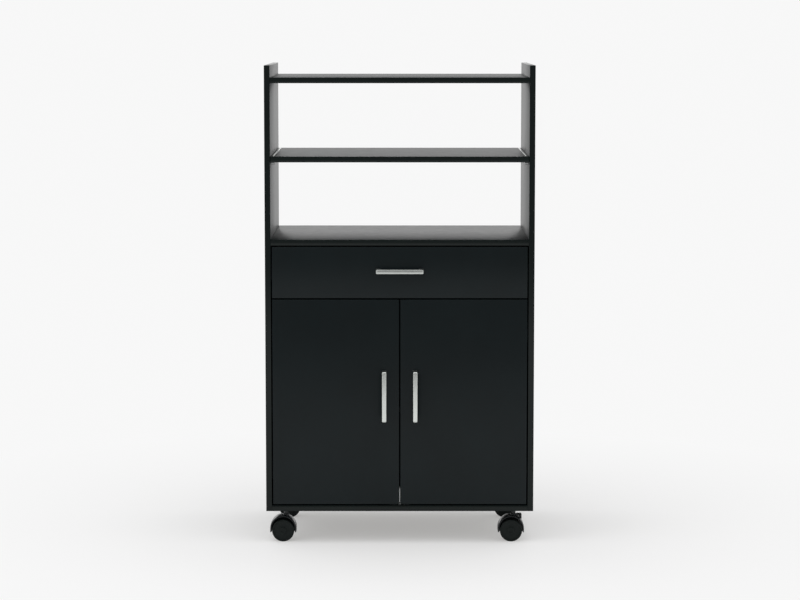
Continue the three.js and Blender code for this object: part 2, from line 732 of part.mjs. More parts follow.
/** Arch over the wheels with straight skirts down to a height, in the XZ plane. */
function hoodShape(radius, bottom) {
  const shape = new THREE.Shape();
  shape.moveTo(axleX - radius, bottom);
  shape.lineTo(axleX + radius, bottom);
  shape.lineTo(axleX + radius, archZ);
  shape.absarc(axleX, archZ, radius, 0, Math.PI);
  return shape;
}

/** Hood, the web between the wheels, both stub axles and the swivel stem. */
function casterBody(place, braked) {
  const halfHood = HOOD_WIDTH / 2;
  const halfWeb = WEB_THICKNESS / 2;
  const hollowY = [-halfHood - OVERCUT, halfHood + OVERCUT];
  const hollow = prismAlongY(hoodShape(archInner, skirtZ - OVERCUT), hollowY);
  const hood = cut(prismAlongY(hoodShape(archOuter, skirtZ), [-halfHood, halfHood]), hollow);
  const web = prismAlongY(hoodShape(archInner + HOOD_WALL / 2, skirtZ), [-halfWeb, halfWeb]);
  const boss = moved(rod('y', WEB_BOSS_RADIUS, [-halfWeb, halfWeb]), axleX, 0, WHEEL_RADIUS);
  const axleHalf = wheelInnerY + WHEEL_WIDTH - WHEEL_CAP - RUNNING_GAP;
  const axle = moved(rod('y', AXLE_RADIUS, [-axleHalf, axleHalf], PIN_SIDES), axleX, 0, WHEEL_RADIUS);
  const stem = rod('z', STEM_RADIUS, [archZ + archInner, UNDERSIDE_HEIGHT + STEM_HEAD / 2]);
  const collar = rod('z', STEM_COLLAR_RADIUS, [archZ + archInner, hoodTop + STEM_COLLAR_RISE]);
  const head = rod('z', STEM_HEAD_RADIUS, [UNDERSIDE_HEIGHT, UNDERSIDE_HEIGHT + STEM_HEAD]);
  const body = joined(hood, web, boss, axle, stem, collar, head);
  if (braked) {
    addBrakeSeat(body);
  }
  return named(body, `${place}_caster_hood`, BLACK_RESIN);
}

/**
 * Wheel on the +Y or the -Y side of the web, with a blind bore for its axle.
 * The middle of each facet of the tread lies at the true radius, and one of
 * them is flat on the floor.
 */
function casterWheel(place, direction) {
  const bore = AXLE_RADIUS + SEAM;
  const tread = WHEEL_RADIUS / Math.cos(Math.PI / WHEEL_SIDES);
  const edge = tread - WHEEL_ROUNDING;
  const recess = tread - WHEEL_RIM;
  const faceY = WHEEL_WIDTH - WHEEL_RECESS;
  const profile = [
    [0, WHEEL_WIDTH - WHEEL_CAP],
    [bore, WHEEL_WIDTH - WHEEL_CAP],
    [bore, 0],
    [edge, 0],
    [tread, WHEEL_ROUNDING],
    [tread, WHEEL_WIDTH - WHEEL_ROUNDING],
    [edge, WHEEL_WIDTH],
    [recess, WHEEL_WIDTH],
    [recess, faceY],
    [0, faceY],
  ];
  const wheel = turned(profile, WHEEL_SIDES);
  wheel.rotation.y = Math.PI / WHEEL_SIDES;
  wheel.rotation.z = direction > 0 ? 0 : Math.PI;
  wheel.position.set(axleX, direction * wheelInnerY, WHEEL_RADIUS);
  const facing = direction < 0 ? 'near' : 'far';
  return named(wheel, `${place}_${facing}_wheel`, WHEEL_RESIN);
}

// ---------------------------------------------------------------------------
// Brake lever
// ---------------------------------------------------------------------------

const leverPinX = LEVER_PIN_REACH;
const leverPinZ = archHeightAt(leverPinX) + LEVER_PIN_RISE;
const leverEye = LEVER_PIN_RADIUS + TURNING_FIT + LEVER_EYE_WALL;
const leverEarY = LEVER_WIDTH / 2 + SEAM;

/** Ears, their pin and the slot that the shoe goes through. */
function addBrakeSeat(body) {
  const slotHalf = LEVER_WIDTH / 2 + LEVER_SLOT_CLEARANCE;
  const shoeHalf = LEVER_SHOE_THICKNESS / 2;
  const slotX = [
    LEVER_SHOE_REACH - shoeHalf - 2 * LEVER_SLOT_CLEARANCE,
    LEVER_SHOE_REACH + shoeHalf + LEVER_SLOT_CLEARANCE,
  ];
  const slot = block(slotX, [-slotHalf, slotHalf], [WHEEL_RADIUS + WEB_BOSS_RADIUS, hoodTop]);
  const room = moved(rod('y', leverEye + TURNING_FIT, [-slotHalf, slotHalf]), leverPinX, 0, leverPinZ);
  const ears = SIDES.map((side) => {
    const earY = range(side * leverEarY, side * (leverEarY + LEVER_EAR));
    const round = moved(rod('y', LEVER_EAR_RADIUS, earY), leverPinX, 0, leverPinZ);
    const root = [leverPinX - LEVER_EAR_RADIUS, leverPinX + LEVER_EAR_RADIUS];
    return joined(round, block(root, earY, [archHeightAt(root[1]) - HOOD_WALL / 2, leverPinZ]));
  });
  const pinHalf = leverEarY + LEVER_EAR / 2;
  const pin = moved(rod('y', LEVER_PIN_RADIUS, [-pinHalf, pinHalf], PIN_SIDES), leverPinX, 0, leverPinZ);
  cut(body, slot, room);
  joined(body, ...ears, pin);
}

/** Lever with its eye on the pin, the tab to press and the shoe over the treads. */
function brakeLever(place) {
  const shoeHalf = LEVER_SHOE_THICKNESS / 2;
  const leverY = [-LEVER_WIDTH / 2, LEVER_WIDTH / 2];
  const treadZ = WHEEL_RADIUS + Math.sqrt(WHEEL_RADIUS ** 2 - (LEVER_SHOE_REACH - shoeHalf - axleX) ** 2);
  const eye = moved(rod('y', leverEye, leverY), leverPinX, 0, leverPinZ);
  const tabStart = LEVER_SHOE_REACH - shoeHalf;
  const tab = block(
    [tabStart, tabStart + LEVER_TAB_LENGTH],
    leverY,
    [WHEEL_RADIUS, leverPinZ + leverEye],
  );
  const archReach = archOuter + LEVER_TAB_GAP;
  const clearArch = moved(rod('y', archReach, [-HOOD_WIDTH, HOOD_WIDTH], ARCH_SIDES), axleX, 0, archZ);
  cut(tab, clearArch);
  const neck = block(
    [leverPinX, tabStart + shoeHalf],
    leverY,
    [leverPinZ - LEVER_PIN_RADIUS, leverPinZ + leverEye],
  );
  const shoe = block(
    [tabStart, tabStart + LEVER_SHOE_THICKNESS],
    leverY,
    [treadZ + LEVER_SHOE_GAP, leverPinZ],
  );
  const bore = rod('y', LEVER_PIN_RADIUS + TURNING_FIT, [-OVERCUT, OVERCUT], PIN_SIDES);
  const lever = cut(joined(eye, tab, neck, shoe), moved(bore, leverPinX, 0, leverPinZ));
  return named(lever, `${place}_brake_lever`, BLACK_RESIN);
}

function casterGroup([place, x, y, braked]) {
  const group = new THREE.Group();
  group.position.set(x, y, 0);
  group.add(casterPlate(place), casterBody(place, braked));
  group.add(...SIDES.map((direction) => casterWheel(place, direction)));
  if (braked) {
    group.add(brakeLever(place));
  }
  return group;
}

// ---------------------------------------------------------------------------
// Cart
// ---------------------------------------------------------------------------

const cart = new THREE.Group();
cart.add(caseGroup(), doorsGroup(), drawerGroup(), runnersGroup());
cart.add(...CASTER_PLACES.map(casterGroup));

export default cart;
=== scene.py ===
"""Looks of a tall kitchen cart: two open bays, a drawer, a cabinet with two doors and four casters."""

import logging
from collections.abc import Callable, Iterator, Mapping
from contextlib import contextmanager
from dataclasses import dataclass
from enum import Enum, StrEnum
from functools import cache
from math import pi, radians
from typing import NamedTuple

import bmesh
import bpy
from mathutils import Matrix, Vector


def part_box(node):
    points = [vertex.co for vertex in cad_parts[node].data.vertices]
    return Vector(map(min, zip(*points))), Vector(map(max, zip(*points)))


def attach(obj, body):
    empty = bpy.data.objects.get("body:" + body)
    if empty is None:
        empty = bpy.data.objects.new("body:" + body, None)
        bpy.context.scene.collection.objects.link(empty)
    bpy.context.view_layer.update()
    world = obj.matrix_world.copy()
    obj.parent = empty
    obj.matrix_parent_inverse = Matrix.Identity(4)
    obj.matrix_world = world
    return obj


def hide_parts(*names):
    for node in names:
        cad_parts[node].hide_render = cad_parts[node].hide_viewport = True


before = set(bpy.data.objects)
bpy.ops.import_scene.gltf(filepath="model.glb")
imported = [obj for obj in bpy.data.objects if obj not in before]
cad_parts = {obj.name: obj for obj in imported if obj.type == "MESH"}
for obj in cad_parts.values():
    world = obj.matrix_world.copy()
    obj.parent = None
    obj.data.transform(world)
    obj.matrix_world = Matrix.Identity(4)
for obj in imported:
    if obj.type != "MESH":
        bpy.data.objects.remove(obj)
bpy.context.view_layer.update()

log = logging.getLogger("cart")

MM = 0.001
HAIR = 0.01 * MM  # places closer than this are the same
ROUND = 72  # sides of a wheel or a hood

# A direction's share on an axis: from FACING it is along the axis, from LEANING it leans
# that way, and up to ACROSS it is across the axis.
FACING, LEANING, ACROSS = 0.9, 0.7, 0.1
UP, DOWN, REARWARD = Vector((0, 0, 1)), Vector((0, 0, -1)), Vector((0, 1, 0))

Piece = bpy.types.Object
Material = bpy.types.Material
Triple = tuple[float, float, float]
Test = Callable[[Vector, Vector], bool]


# ---------------------------------------------------------------------------
# Bench: modelling as by hand
# ---------------------------------------------------------------------------


class Along(Enum):
    """Axis that a round bar or a grain lies along, with the turn that brings Z onto it."""

    X = (0.0, pi / 2, 0.0)
    Y = (pi / 2, 0.0, 0.0)
    Z = (0.0, 0.0, 0.0)


class Element(Enum):
    """What is picked in edit mode."""

    EDGE = "EDGE"
    FACE = "FACE"


class Joining(Enum):
    """What becomes of a piece when another is put through it."""

    CARVED = "DIFFERENCE"
    FUSED = "UNION"


def everything(middle: Vector, way: Vector) -> bool:
    """Passes every face or edge."""
    return True


def runs_back(middle: Vector, way: Vector) -> bool:
    """Passes the edges along Y."""
    return abs(way.y) > FACING


def runs_up(middle: Vector, way: Vector) -> bool:
    """Passes the edges along Z."""
    return abs(way.z) > FACING


class Bench:
    """Adds, shapes, cuts and joins meshes. All lengths are in metres."""

    @staticmethod
    def pick(*pieces: Piece) -> None:
        """Selects these pieces alone and makes the first one active.

        Args:
            pieces: The pieces to select.
        """
        bpy.ops.object.select_all(action="DESELECT")
        for piece in pieces:
            piece.select_set(True)
        bpy.context.view_layer.objects.active = pieces[0]

    @classmethod
    def settle(cls, name: str) -> Piece:
        """Names the piece that was just added and moves its place, turn and size into its mesh.

        Args:
            name: Its name from now on.

        Returns:
            The piece, with its object at the origin.
        """
        piece = bpy.context.object
        cls.pick(piece)
        bpy.ops.object.transform_apply(location=True, rotation=True, scale=True)
        piece.name = piece.data.name = name
        return piece

    @classmethod
    def block(cls, name: str, low: Vector, high: Vector) -> Piece:
        """Adds a rectangular block.

        Args:
            name: The new piece's name.
            low: Its lowest corner.
            high: Its highest corner.

        Returns:
            The block.
        """
        bpy.ops.object.select_all(action="DESELECT")
        bpy.ops.mesh.primitive_cube_add(size=1, location=(low + high) / 2, scale=high - low)
        return cls.settle(name)

    @classmethod
    def rod(
        cls, name: str, middle: Vector, radius: float, length: float, along: Along, *, sides: int
    ) -> Piece:
        """Adds a round bar.

        Args:
            name: The new piece's name.
            middle: The bar's centre.
            radius: Its radius.
            length: Its length.
            along: The axis it lies on.
            sides: Facets round it.

        Returns:
            The bar.
        """
        bpy.ops.object.select_all(action="DESELECT")
        bpy.ops.mesh.primitive_cylinder_add(
            vertices=sides, radius=radius, depth=length, location=middle, rotation=along.value
        )
        return cls.settle(name)

    @classmethod
    @contextmanager
    def editing(cls, piece: Piece, element: Element, test: Test = everything) -> Iterator[None]:
        """Opens a piece in edit mode with the elements that pass a test selected.

        Args:
            piece: The piece to edit.
            element: Whether faces or edges are picked.
            test: Takes a face's centre and normal, or an edge's middle and direction.

        Yields:
            Nothing, while the piece is open.
        """
        cls.pick(piece)
        bpy.ops.object.mode_set(mode="EDIT")
        bpy.ops.mesh.select_mode(type=element.value)
        bpy.ops.mesh.select_all(action="DESELECT")
        mesh = bmesh.from_edit_mesh(piece.data)
        if element is Element.FACE:
            for face in mesh.faces:
                face.select_set(test(face.calc_center_median(), face.normal))
        else:
            for edge in mesh.edges:
                start, end = edge.verts[0].co, edge.verts[1].co
                edge.select_set(test((start + end) / 2, (end - start).normalized()))
        bmesh.update_edit_mesh(piece.data)
        yield
        bpy.ops.object.mode_set(mode="OBJECT")

    @classmethod
    def chamfer(cls, piece: Piece, width: float, test: Test, steps: int = 4) -> None:
        """Rounds the edges that pass a test.

        Args:
            piece: The piece to round.
            width: Width of the rounding.
            test: Takes an edge's middle and direction.
            steps: Facets across it.
        """
        with cls.editing(piece, Element.EDGE, test):
            bpy.ops.mesh.bevel(offset=width, segments=steps, affect="EDGES")

    @classmethod
    def terrace(cls, piece: Piece, test: Test, *steps: tuple[float, float]) -> None:
        """Insets faces several times, one step within the other.

        Args:
            piece: The piece to shape.
            test: Takes a face's centre and normal.
            steps: Width and rise of each inset.
        """
        with cls.editing(piece, Element.FACE, test):
            for width, rise in steps:
                bpy.ops.mesh.inset(thickness=width, depth=rise)

    @classmethod
    def pull(cls, piece: Piece, test: Test, way: Triple) -> None:
        """Extrudes the faces that pass a test.

        Args:
            piece: The piece to shape.
            test: Takes a face's centre and normal.
            way: How far the faces move on each axis.
        """
        with cls.editing(piece, Element.FACE, test):
            bpy.ops.mesh.extrude_region_move(TRANSFORM_OT_translate={"value": way})

    @classmethod
    def soften(cls, piece: Piece, width: float, steps: int = 2, sharpest: float = 40.0) -> Piece:
        """Rounds every sharp edge of a piece and shades it smooth.

        Args:
            piece: The piece to soften.
            width: Width of the rounding.
            steps: Facets across it.
            sharpest: Smallest angle in degrees that counts as sharp.

        Returns:
            The same piece.
        """
        bevel = piece.modifiers.new("softened", "BEVEL")
        bevel.width = width
        bevel.segments = steps
        bevel.limit_method = "ANGLE"
        bevel.angle_limit = radians(sharpest)
        return cls.smooth(cls.apply(piece))

    @classmethod
    def smooth(cls, piece: Piece, angle: float = 35.0) -> Piece:
        """Shades a piece smooth.

        Args:
            piece: The piece to shade.
            angle: Edges under this angle in degrees look smooth.

        Returns:
            The same piece.
        """
        cls.pick(piece)
        bpy.ops.object.shade_smooth_by_angle(angle=radians(angle))
        return piece

    @classmethod
    def apply(cls, piece: Piece) -> Piece:
        """Applies all of a piece's modifiers.

        Args:
            piece: The piece.

        Returns:
            The same piece.
        """
        cls.pick(piece)
        for modifier in list(piece.modifiers):
            bpy.ops.object.modifier_apply(modifier=modifier.name)
        return piece

    @classmethod
    def carve(cls, piece: Piece, *cutters: Piece) -> Piece:
        """Cuts other pieces out of a piece."""
        return cls._combine(piece, cutters, Joining.CARVED)

    @classmethod
    def fuse(cls, piece: Piece, *others: Piece) -> Piece:
        """Makes several overlapping pieces one closed shape."""
        return cls._combine(piece, others, Joining.FUSED)

    @classmethod
    def _combine(cls, piece: Piece, others: tuple[Piece, ...], joining: Joining) -> Piece:
        """Combines a piece with others, one by one.

        Args:
            piece: The piece that stays.
            others: The pieces that are used up.
            joining: How it is combined with each.

        Returns:
            The piece that stays.
        """
        for other in others:
            modifier = piece.modifiers.new("combined", "BOOLEAN")
            modifier.operation = joining.value
            modifier.object = other
            cls.apply(piece)
            bpy.data.objects.remove(other)
        return piece

    @classmethod
    def gather(cls, name: str, *pieces: Piece) -> Piece:
        """Joins pieces into one smooth mesh, each keeping its own shell.

        Args:
            name: The name of the whole.
            pieces: The pieces to join.

        Returns:
            The whole.
        """
        cls.pick(*pieces)
        if len(pieces) > 1:
            bpy.ops.object.join()
        pieces[0].name = pieces[0].data.name = name
        return cls.smooth(pieces[0])

    @staticmethod
    def copy(piece: Piece, name: str, place: Matrix) -> Piece:
        """Copies a piece with its own mesh.

        Args:
            piece: The piece to copy.
            name: The copy's name.
            place: Where the copy goes, from where the piece is.

        Returns:
            The copy, with its object at the origin.
        """
        twin = bpy.data.objects.new(name, piece.data.copy())
        twin.data.name = name
        twin.data.transform(place)
        bpy.context.scene.collection.objects.link(twin)
        return twin

    @classmethod
    def traced(cls, name: str, node: str, width: float) -> Piece:
        """Copies a CAD node's solid as a clean mesh with softened edges.

        Args:
            name: The new piece's name.
            node: The CAD node.
            width: Width of the softening.

        Returns:
            The copy.
        """
        twin = cls.copy(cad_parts[node], name, Matrix.Identity(4))
        twin.data.materials.clear()
        with cls.editing(twin, Element.FACE):
            bpy.ops.mesh.remove_doubles(threshold=1e-6)
            bpy.ops.mesh.dissolve_limited(angle_limit=radians(1))
        return cls.soften(twin, width)


# ---------------------------------------------------------------------------
# Sockets and finishes
# ---------------------------------------------------------------------------


class Sum(Enum):
    """What a Math node does with two values."""

    ADD = "ADD"
    SUBTRACT = "SUBTRACT"
    MULTIPLY = "MULTIPLY"
    LARGER = "MAXIMUM"


class Wire:
    """A value socket that works in sums like a number."""

    def __init__(self, graph: "Graph", socket: bpy.types.NodeSocket) -> None:
        """Keeps the socket and the graph that it is in."""
        self.graph = graph
        self.socket = socket

    def __add__(self, other: "Wire | float") -> "Wire":
        """Adds."""
        return self.graph.sum(Sum.ADD, self, other)

    def __radd__(self, other: float) -> "Wire":
        """Adds from the left."""
        return self.graph.sum(Sum.ADD, other, self)

    def __sub__(self, other: "Wire | float") -> "Wire":
        """Subtracts."""
        return self.graph.sum(Sum.SUBTRACT, self, other)

    def __rsub__(self, other: float) -> "Wire":
        """Subtracts from a number."""
        return self.graph.sum(Sum.SUBTRACT, other, self)

    def __mul__(self, other: "Wire | float") -> "Wire":
        """Multiplies."""
        return self.graph.sum(Sum.MULTIPLY, self, other)

    def __rmul__(self, other: float) -> "Wire":
        """Multiplies from the left."""
        return self.graph.sum(Sum.MULTIPLY, other, self)


Value = Wire | float | tuple[float, ...]


class Graph:
    """Nodes of one material or of the world."""

    def __init__(self, owner: Material | bpy.types.World) -> None:
        """Clears the owner's nodes.

        Args:
            owner: The material or the world.
        """
        owner.use_nodes = True
        self.tree = owner.node_tree
        self.tree.nodes.clear()

    def add(
        self,
        kind: str,
        settings: Mapping[str, object] | None = None,
        sockets: Mapping[str | int, Value] | None = None,
        output: str | int = 0,
    ) -> Wire | None:
        """Adds a node.

        Args:
            kind: The node's type.
            settings: What is set on the node itself, such as a ramp's stops.
            sockets: Numbers, colours or wires for its inputs.
            output: Which output is wanted.

        Returns:
            The wire from that output, or None from a node that has no outputs.
        """
        node = self.tree.nodes.new(kind)
        for name, setting in (settings or {}).items():
            if name == "stops":
                self._set_stops(node.color_ramp, setting)
            else:
                setattr(node, name, setting)
        for name, value in (sockets or {}).items():
            if isinstance(value, Wire):
                self.tree.links.new(value.socket, node.inputs[name])
            else:
                node.inputs[name].default_value = value
        return Wire(self, node.outputs[output]) if node.outputs else None

    @staticmethod
    def _set_stops(ramp: bpy.types.ColorRamp, stops: tuple[tuple[float, float], ...]) -> None:
        """Puts grey stops on a colour ramp.

        Args:
            ramp: The ramp, which has two stops to begin with.
            stops: Place and grey of each stop.
        """
        for element, (place, grey) in zip(ramp.elements, stops, strict=True):
            element.position = place
            element.color = (*even(grey), 1)

    def seen(self) -> Wire:
        """Returns 1 for what the camera sees, directly or through something clear, else 0."""
        names = ("Is Camera Ray", "Is Transmission Ray")
        return self.sum(Sum.LARGER, *(self.add("ShaderNodeLightPath", output=name) for name in names))

    def sum(self, kind: Sum, first: Value, second: Value) -> Wire:
        """Adds a Math node on two values."""
        return self.add("ShaderNodeMath", {"operation": kind.value}, {0: first, 1: second})

    def blend(self, factor: Value, first: Value, second: Value) -> Wire:
        """Mixes two colours by a factor."""
        # The node's colours are its inputs 6 and 7 and its output 2, after those for numbers.
        sockets = {0: factor, 6: opaque(first), 7: opaque(second)}
        return self.add("ShaderNodeMix", {"data_type": "RGBA"}, sockets, output=2)

    def mixed(self, factor: Wire, first: Wire, second: Wire) -> Wire:
        """Mixes two shaders by a factor."""
        return self.add("ShaderNodeMixShader", sockets={0: factor, 1: first, 2: second})

    def place(self, scale: Triple = (1, 1, 1)) -> Wire:
        """Returns the place on the piece in metres, stretched by a scale on each axis."""
        place = self.add("ShaderNodeTexCoord", output="Object")
        return self.add("ShaderNodeMapping", sockets={"Vector": place, "Scale": scale})

    def noise(self, per_metre: float, stretch: Triple = (1, 1, 1), detail: float = 2.0) -> Wire:
        """Returns noise from 0 to 1.

        Args:
            per_metre: Cells in a metre.
            stretch: Scale of the pattern on each axis.
            detail: Finer layers in it.

        Returns:
            The noise.
        """
        sockets = {"Vector": self.place(stretch), "Scale": per_metre, "Detail": detail}
        return self.add("ShaderNodeTexNoise", sockets=sockets)

    def cells(self, per_metre: float, output: str = "Distance") -> Wire:
        """Returns one output of a pattern of cells, by default the distance to a cell's middle."""
        sockets = {"Vector": self.place(), "Scale": per_metre}
        return self.add("ShaderNodeTexVoronoi", sockets=sockets, output=output)

    def ramp(self, value: Wire, *stops: tuple[float, float]) -> Wire:
        """Returns a value led through a grey ramp of two stops."""
        return self.add("ShaderNodeValToRGB", {"stops": stops}, {"Fac": value})

    def fade(self, distance: Wire, starts: float, ends: float, span: float) -> Wire:
        """Makes a value that goes from 0 to 1 between two distances.

        Args:
            distance: The distance, which may count backwards from zero.
            starts: Distance that it is 0 up to.
            ends: Distance that it is 1 from.
            span: A distance beyond both, on their side of zero.

        Returns:
            The value.
        """
        return self.ramp(distance * (1 / span), (starts / span, 0.0), (ends / span, 1.0))

    def tinted(self, factor: Wire, colour: Triple, darker: float, paler: float) -> Wire:
        """Returns a colour that varies from a share darker to a share paler."""
        return self.blend(factor, lighter(colour, -darker), lighter(colour, paler))


def shade(code: int) -> Triple:
    """Returns the linear colour of a screen colour written as 0xRRGGBB."""
    parts = [((code >> shift) & 255) / 255 for shift in (16, 8, 0)]
    return tuple(p / 12.92 if p <= 0.04045 else ((p + 0.055) / 1.055) ** 2.4 for p in parts)


def even(grey: float) -> Triple:
    """Returns a linear grey as a colour."""
    return grey, grey, grey


def opaque(colour: Value) -> Value:
    """Returns a colour with its alpha, and a wire as it is."""
    return (*colour, 1.0) if isinstance(colour, tuple) else colour


def lighter(colour: Triple, share: float) -> Triple:
    """Returns a colour with every part raised or lowered by a share."""
    return tuple(part * (1 + share) for part in colour)


class Texture(NamedTuple):
    """What a finish changes over its surface."""

    colour: Wire
    roughness: Wire
    height: Wire


@dataclass(frozen=True)
class Finish:
    """A surface finish. Each kind below gives its own texture."""

    slot: str
    colour: Triple
    roughness: float
    gloss: float = 0.5
    metal: float = 0.0
    title: str = ""
    relief: float = 0.03 * MM

    def texture(self, graph: Graph) -> Texture:
        """Makes the surface's colour, roughness and relief."""
        raise NotImplementedError

    def worn(self, factor: Wire, smoother: float, rougher: float) -> Wire:
        """Returns a roughness that varies from a little below the finish's own to a little above."""
        return self.roughness - smoother + factor * (smoother + rougher)

    @cache
    def material(self) -> Material:
        """Makes the finish as a material, once.

        Returns:
            The material.
        """
        made = bpy.data.materials.new(self.title or f"{self.slot}_finish")
        graph = Graph(made)
        texture = self.texture(graph)
        relief = {"Strength": 1.0, "Distance": self.relief, "Height": texture.height}
        sockets = {
            "Base Color": texture.colour,
            "Roughness": texture.roughness,
            "Metallic": self.metal,
            "Specular IOR Level": self.gloss,
            "Normal": graph.add("ShaderNodeBump", sockets=relief),
        }
        surface = graph.add("ShaderNodeBsdfPrincipled", sockets=sockets)
        graph.add("ShaderNodeOutputMaterial", sockets={"Surface": surface})
        return made


@dataclass(frozen=True)
class Melamine(Finish):
    """Paper-faced board: faint clouds, a pressed pebble texture and wiped streaks."""

    pebble: float = 1400.0

    def texture(self, graph: Graph) -> Texture:
        """Makes clouds and specks for colour, streaks for roughness and pebbles for relief.

        Args:
            graph: Where the nodes go.

        Returns:
            The texture.
        """
        clouds, specks = graph.noise(per_metre=9.0, detail=4.0), graph.noise(per_metre=900.0)
        tone = graph.ramp(clouds * 0.7 + specks * 0.3, (0.3, 0.0), (0.7, 1.0))
        streaks = graph.noise(per_metre=4.0, stretch=(14.0, 14.0, 1.6), detail=5.0)
        pebbles = graph.cells(self.pebble) + graph.noise(self.pebble / 3) * 0.6
        colour = graph.tinted(tone, self.colour, darker=0.14, paler=0.16)
        return Texture(colour, self.worn(streaks, smoother=0.05, rougher=0.05), pebbles)


@dataclass(frozen=True)
class Hardboard(Finish):
    """Thin pressed fibre board with a painted face."""

    relief: float = 0.12 * MM

    def texture(self, graph: Graph) -> Texture:
        """Makes clouds for colour, and fibres for roughness and relief.

        Args:
            graph: Where the nodes go.

        Returns:
            The texture.
        """
        fibres = graph.noise(per_metre=260.0, stretch=(1.0, 1.0, 5.0), detail=6.0)
        clouds = graph.noise(per_metre=14.0, detail=3.0)
        colour = graph.tinted(clouds, self.colour, darker=0.2, paler=0.25)
        return Texture(colour, self.worn(fibres, smoother=0.08, rougher=0.08), fibres)


@dataclass(frozen=True)
class GrainedFoil(Finish):
    """Foil round the drawer's boards, with a fine printed and pressed grain along Y."""

    def texture(self, graph: Graph) -> Texture:
        """Makes grain lines for colour, roughness and relief.

        Args:
            graph: Where the nodes go.

        Returns:
            The texture.
        """
        grain = graph.noise(per_metre=500.0, stretch=(0.35, 0.03, 1.0), detail=5.0)
        lines = graph.ramp(grain, (0.38, 0.0), (0.62, 1.0))
        colour = graph.tinted(lines, self.colour, darker=0.2, paler=0.2)
        return Texture(colour, self.worn(lines, smoother=0.06, rougher=0.06), lines)


@dataclass(frozen=True)
class BrushedNickel(Finish):
    """Plated metal with satin lines along the handle."""

    relief: float = 0.01 * MM
    lines: Along = Along.X

    def texture(self, graph: Graph) -> Texture:
        """Makes slight clouds for colour, and long fine lines for roughness and relief.

        Args:
            graph: Where the nodes go.

        Returns:
            The texture.
        """
        long, fine = 0.02, 1.0
        stretch = (long, fine, fine) if self.lines is Along.X else (fine, fine, long)
        brushed = graph.noise(per_metre=2600.0, stretch=stretch, detail=3.0)
        clouds = graph.noise(per_metre=60.0)
        colour = graph.tinted(clouds, self.colour, darker=0.08, paler=0.04)
        return Texture(colour, self.worn(brushed, smoother=0.07, rougher=0.07), brushed)


@dataclass(frozen=True)
class Zinc(Finish):
    """Zinc on pressed steel, with its soft crystal patches."""

    metal: float = 1.0
    relief: float = 0.008 * MM

    def texture(self, graph: Graph) -> Texture:
        """Makes patches for colour and roughness, and fine pits for relief.

        Args:
            graph: Where the nodes go.

        Returns:
            The texture.
        """
        patches = graph.cells(per_metre=230.0, output="Color")
        grey = graph.add("ShaderNodeRGBToBW", sockets={0: patches})
        pits = graph.noise(per_metre=1800.0, detail=3.0)
        colour = graph.tinted(grey, self.colour, darker=0.16, paler=0.1)
        return Texture(colour, self.worn(grey, smoother=0.08, rougher=0.04), pits)


@dataclass(frozen=True)
class MouldedResin(Finish):
    """Moulded plastic: an even skin with slight flow marks and fine scuffs."""

    relief: float = 0.006 * MM
    scuffs: float = 0.1

    def texture(self, graph: Graph) -> Texture:
        """Makes flow marks for colour, scuffs for colour and roughness, and fine grain for relief.

        Args:
            graph: Where the nodes go.

        Returns:
            The texture.
        """
        flow = graph.noise(per_metre=45.0, stretch=(1.0, 1.0, 0.4), detail=3.0)
        scratched = graph.noise(per_metre=190.0, stretch=(1.0, 1.0, 2.5), detail=5.0)
        scuffed = graph.ramp(scratched, (0.52, 0.0), (0.68, 1.0))
        flowing = graph.tinted(flow, self.colour, darker=0.12, paler=0.14)
        colour = graph.blend(scuffed * self.scuffs, flowing, lighter(self.colour, 1.4))
        grain = graph.noise(per_metre=2200.0)
        return Texture(colour, self.worn(scuffed, smoother=0.0, rougher=self.scuffs), grain)


BLACK_MELAMINE = Melamine("black_melamine", shade(0x0C1517), 0.325, gloss=0.225)
BLACK_SHELF = Melamine("black_melamine", shade(0x0C1517), 0.375, gloss=0.225, title="black_shelf_face")
BLACK_BAND = Melamine(
    "black_melamine",
    shade(0x0E1514),
    0.2,
    gloss=0.24,
    title="black_edge_band",
    relief=0.002 * MM,
    pebble=2600.0,
)
BLACK_HARDBOARD = Hardboard("black_hardboard", shade(0x202424), 0.62, gloss=0.3)
DRAWER_FOIL = GrainedFoil("drawer_board", shade(0x2A2E2E), 0.5, gloss=0.35)
# The two nickels below are one satin nickel in a shaded and a lit copy: the drawer handle's colour is
# painted darker as painted shade, and the upright handles' colour is painted lighter as painted light.
NICKEL_ACROSS_PAINTED_SHADE = BrushedNickel(
    "satin_nickel", shade(0xD2D6D3), 0.28, metal=1.0, title="satin_nickel_across_painted_shade"
)
NICKEL_UPRIGHT_PAINTED_LIGHT = BrushedNickel(
    "satin_nickel", shade(0xE6EAE6), 0.28, metal=1.0, title="satin_nickel_upright_painted_light", lines=Along.Z
)
BRIGHT_ZINC = Zinc("bright_zinc", shade(0xB4B6B6), 0.36)
BRIGHT_LINING = Zinc("bright_zinc", shade(0xE6E9E4), 0.14, title="bright_lining")
# Zinc-plated steel painted dark. On the hinge arms this dark tone is painted shade, so they read dark
# where the gap between the doors shows them. The case's runners share it, and the catch's magnets are dark
# steel of their own.
DARK_STEEL_AND_PAINTED_SHADE = Zinc("bright_zinc", shade(0x3E4246), 0.45, title="dark_steel_and_painted_shade")
GLOSSY_RESIN = MouldedResin("black_resin", shade(0x14181A), 0.22, gloss=0.42, scuffs=0.08)
WHEEL_RESIN = MouldedResin("wheel_resin", shade(0x0B1412), 0.42, gloss=0.25, relief=0.02 * MM)
PALE_RESIN = MouldedResin("pale_resin", shade(0xDADDDC), 0.42, gloss=0.4, scuffs=0.05)


# ---------------------------------------------------------------------------
# Sub-assemblies
# ---------------------------------------------------------------------------


class Side(StrEnum):
    """A side of the cart, as its nodes are named."""

    LEFT = "left"
    RIGHT = "right"

    @property
    def inward(self) -> int:
        """Returns the way along X from this side to the middle."""
        return 1 if self is Side.LEFT else -1


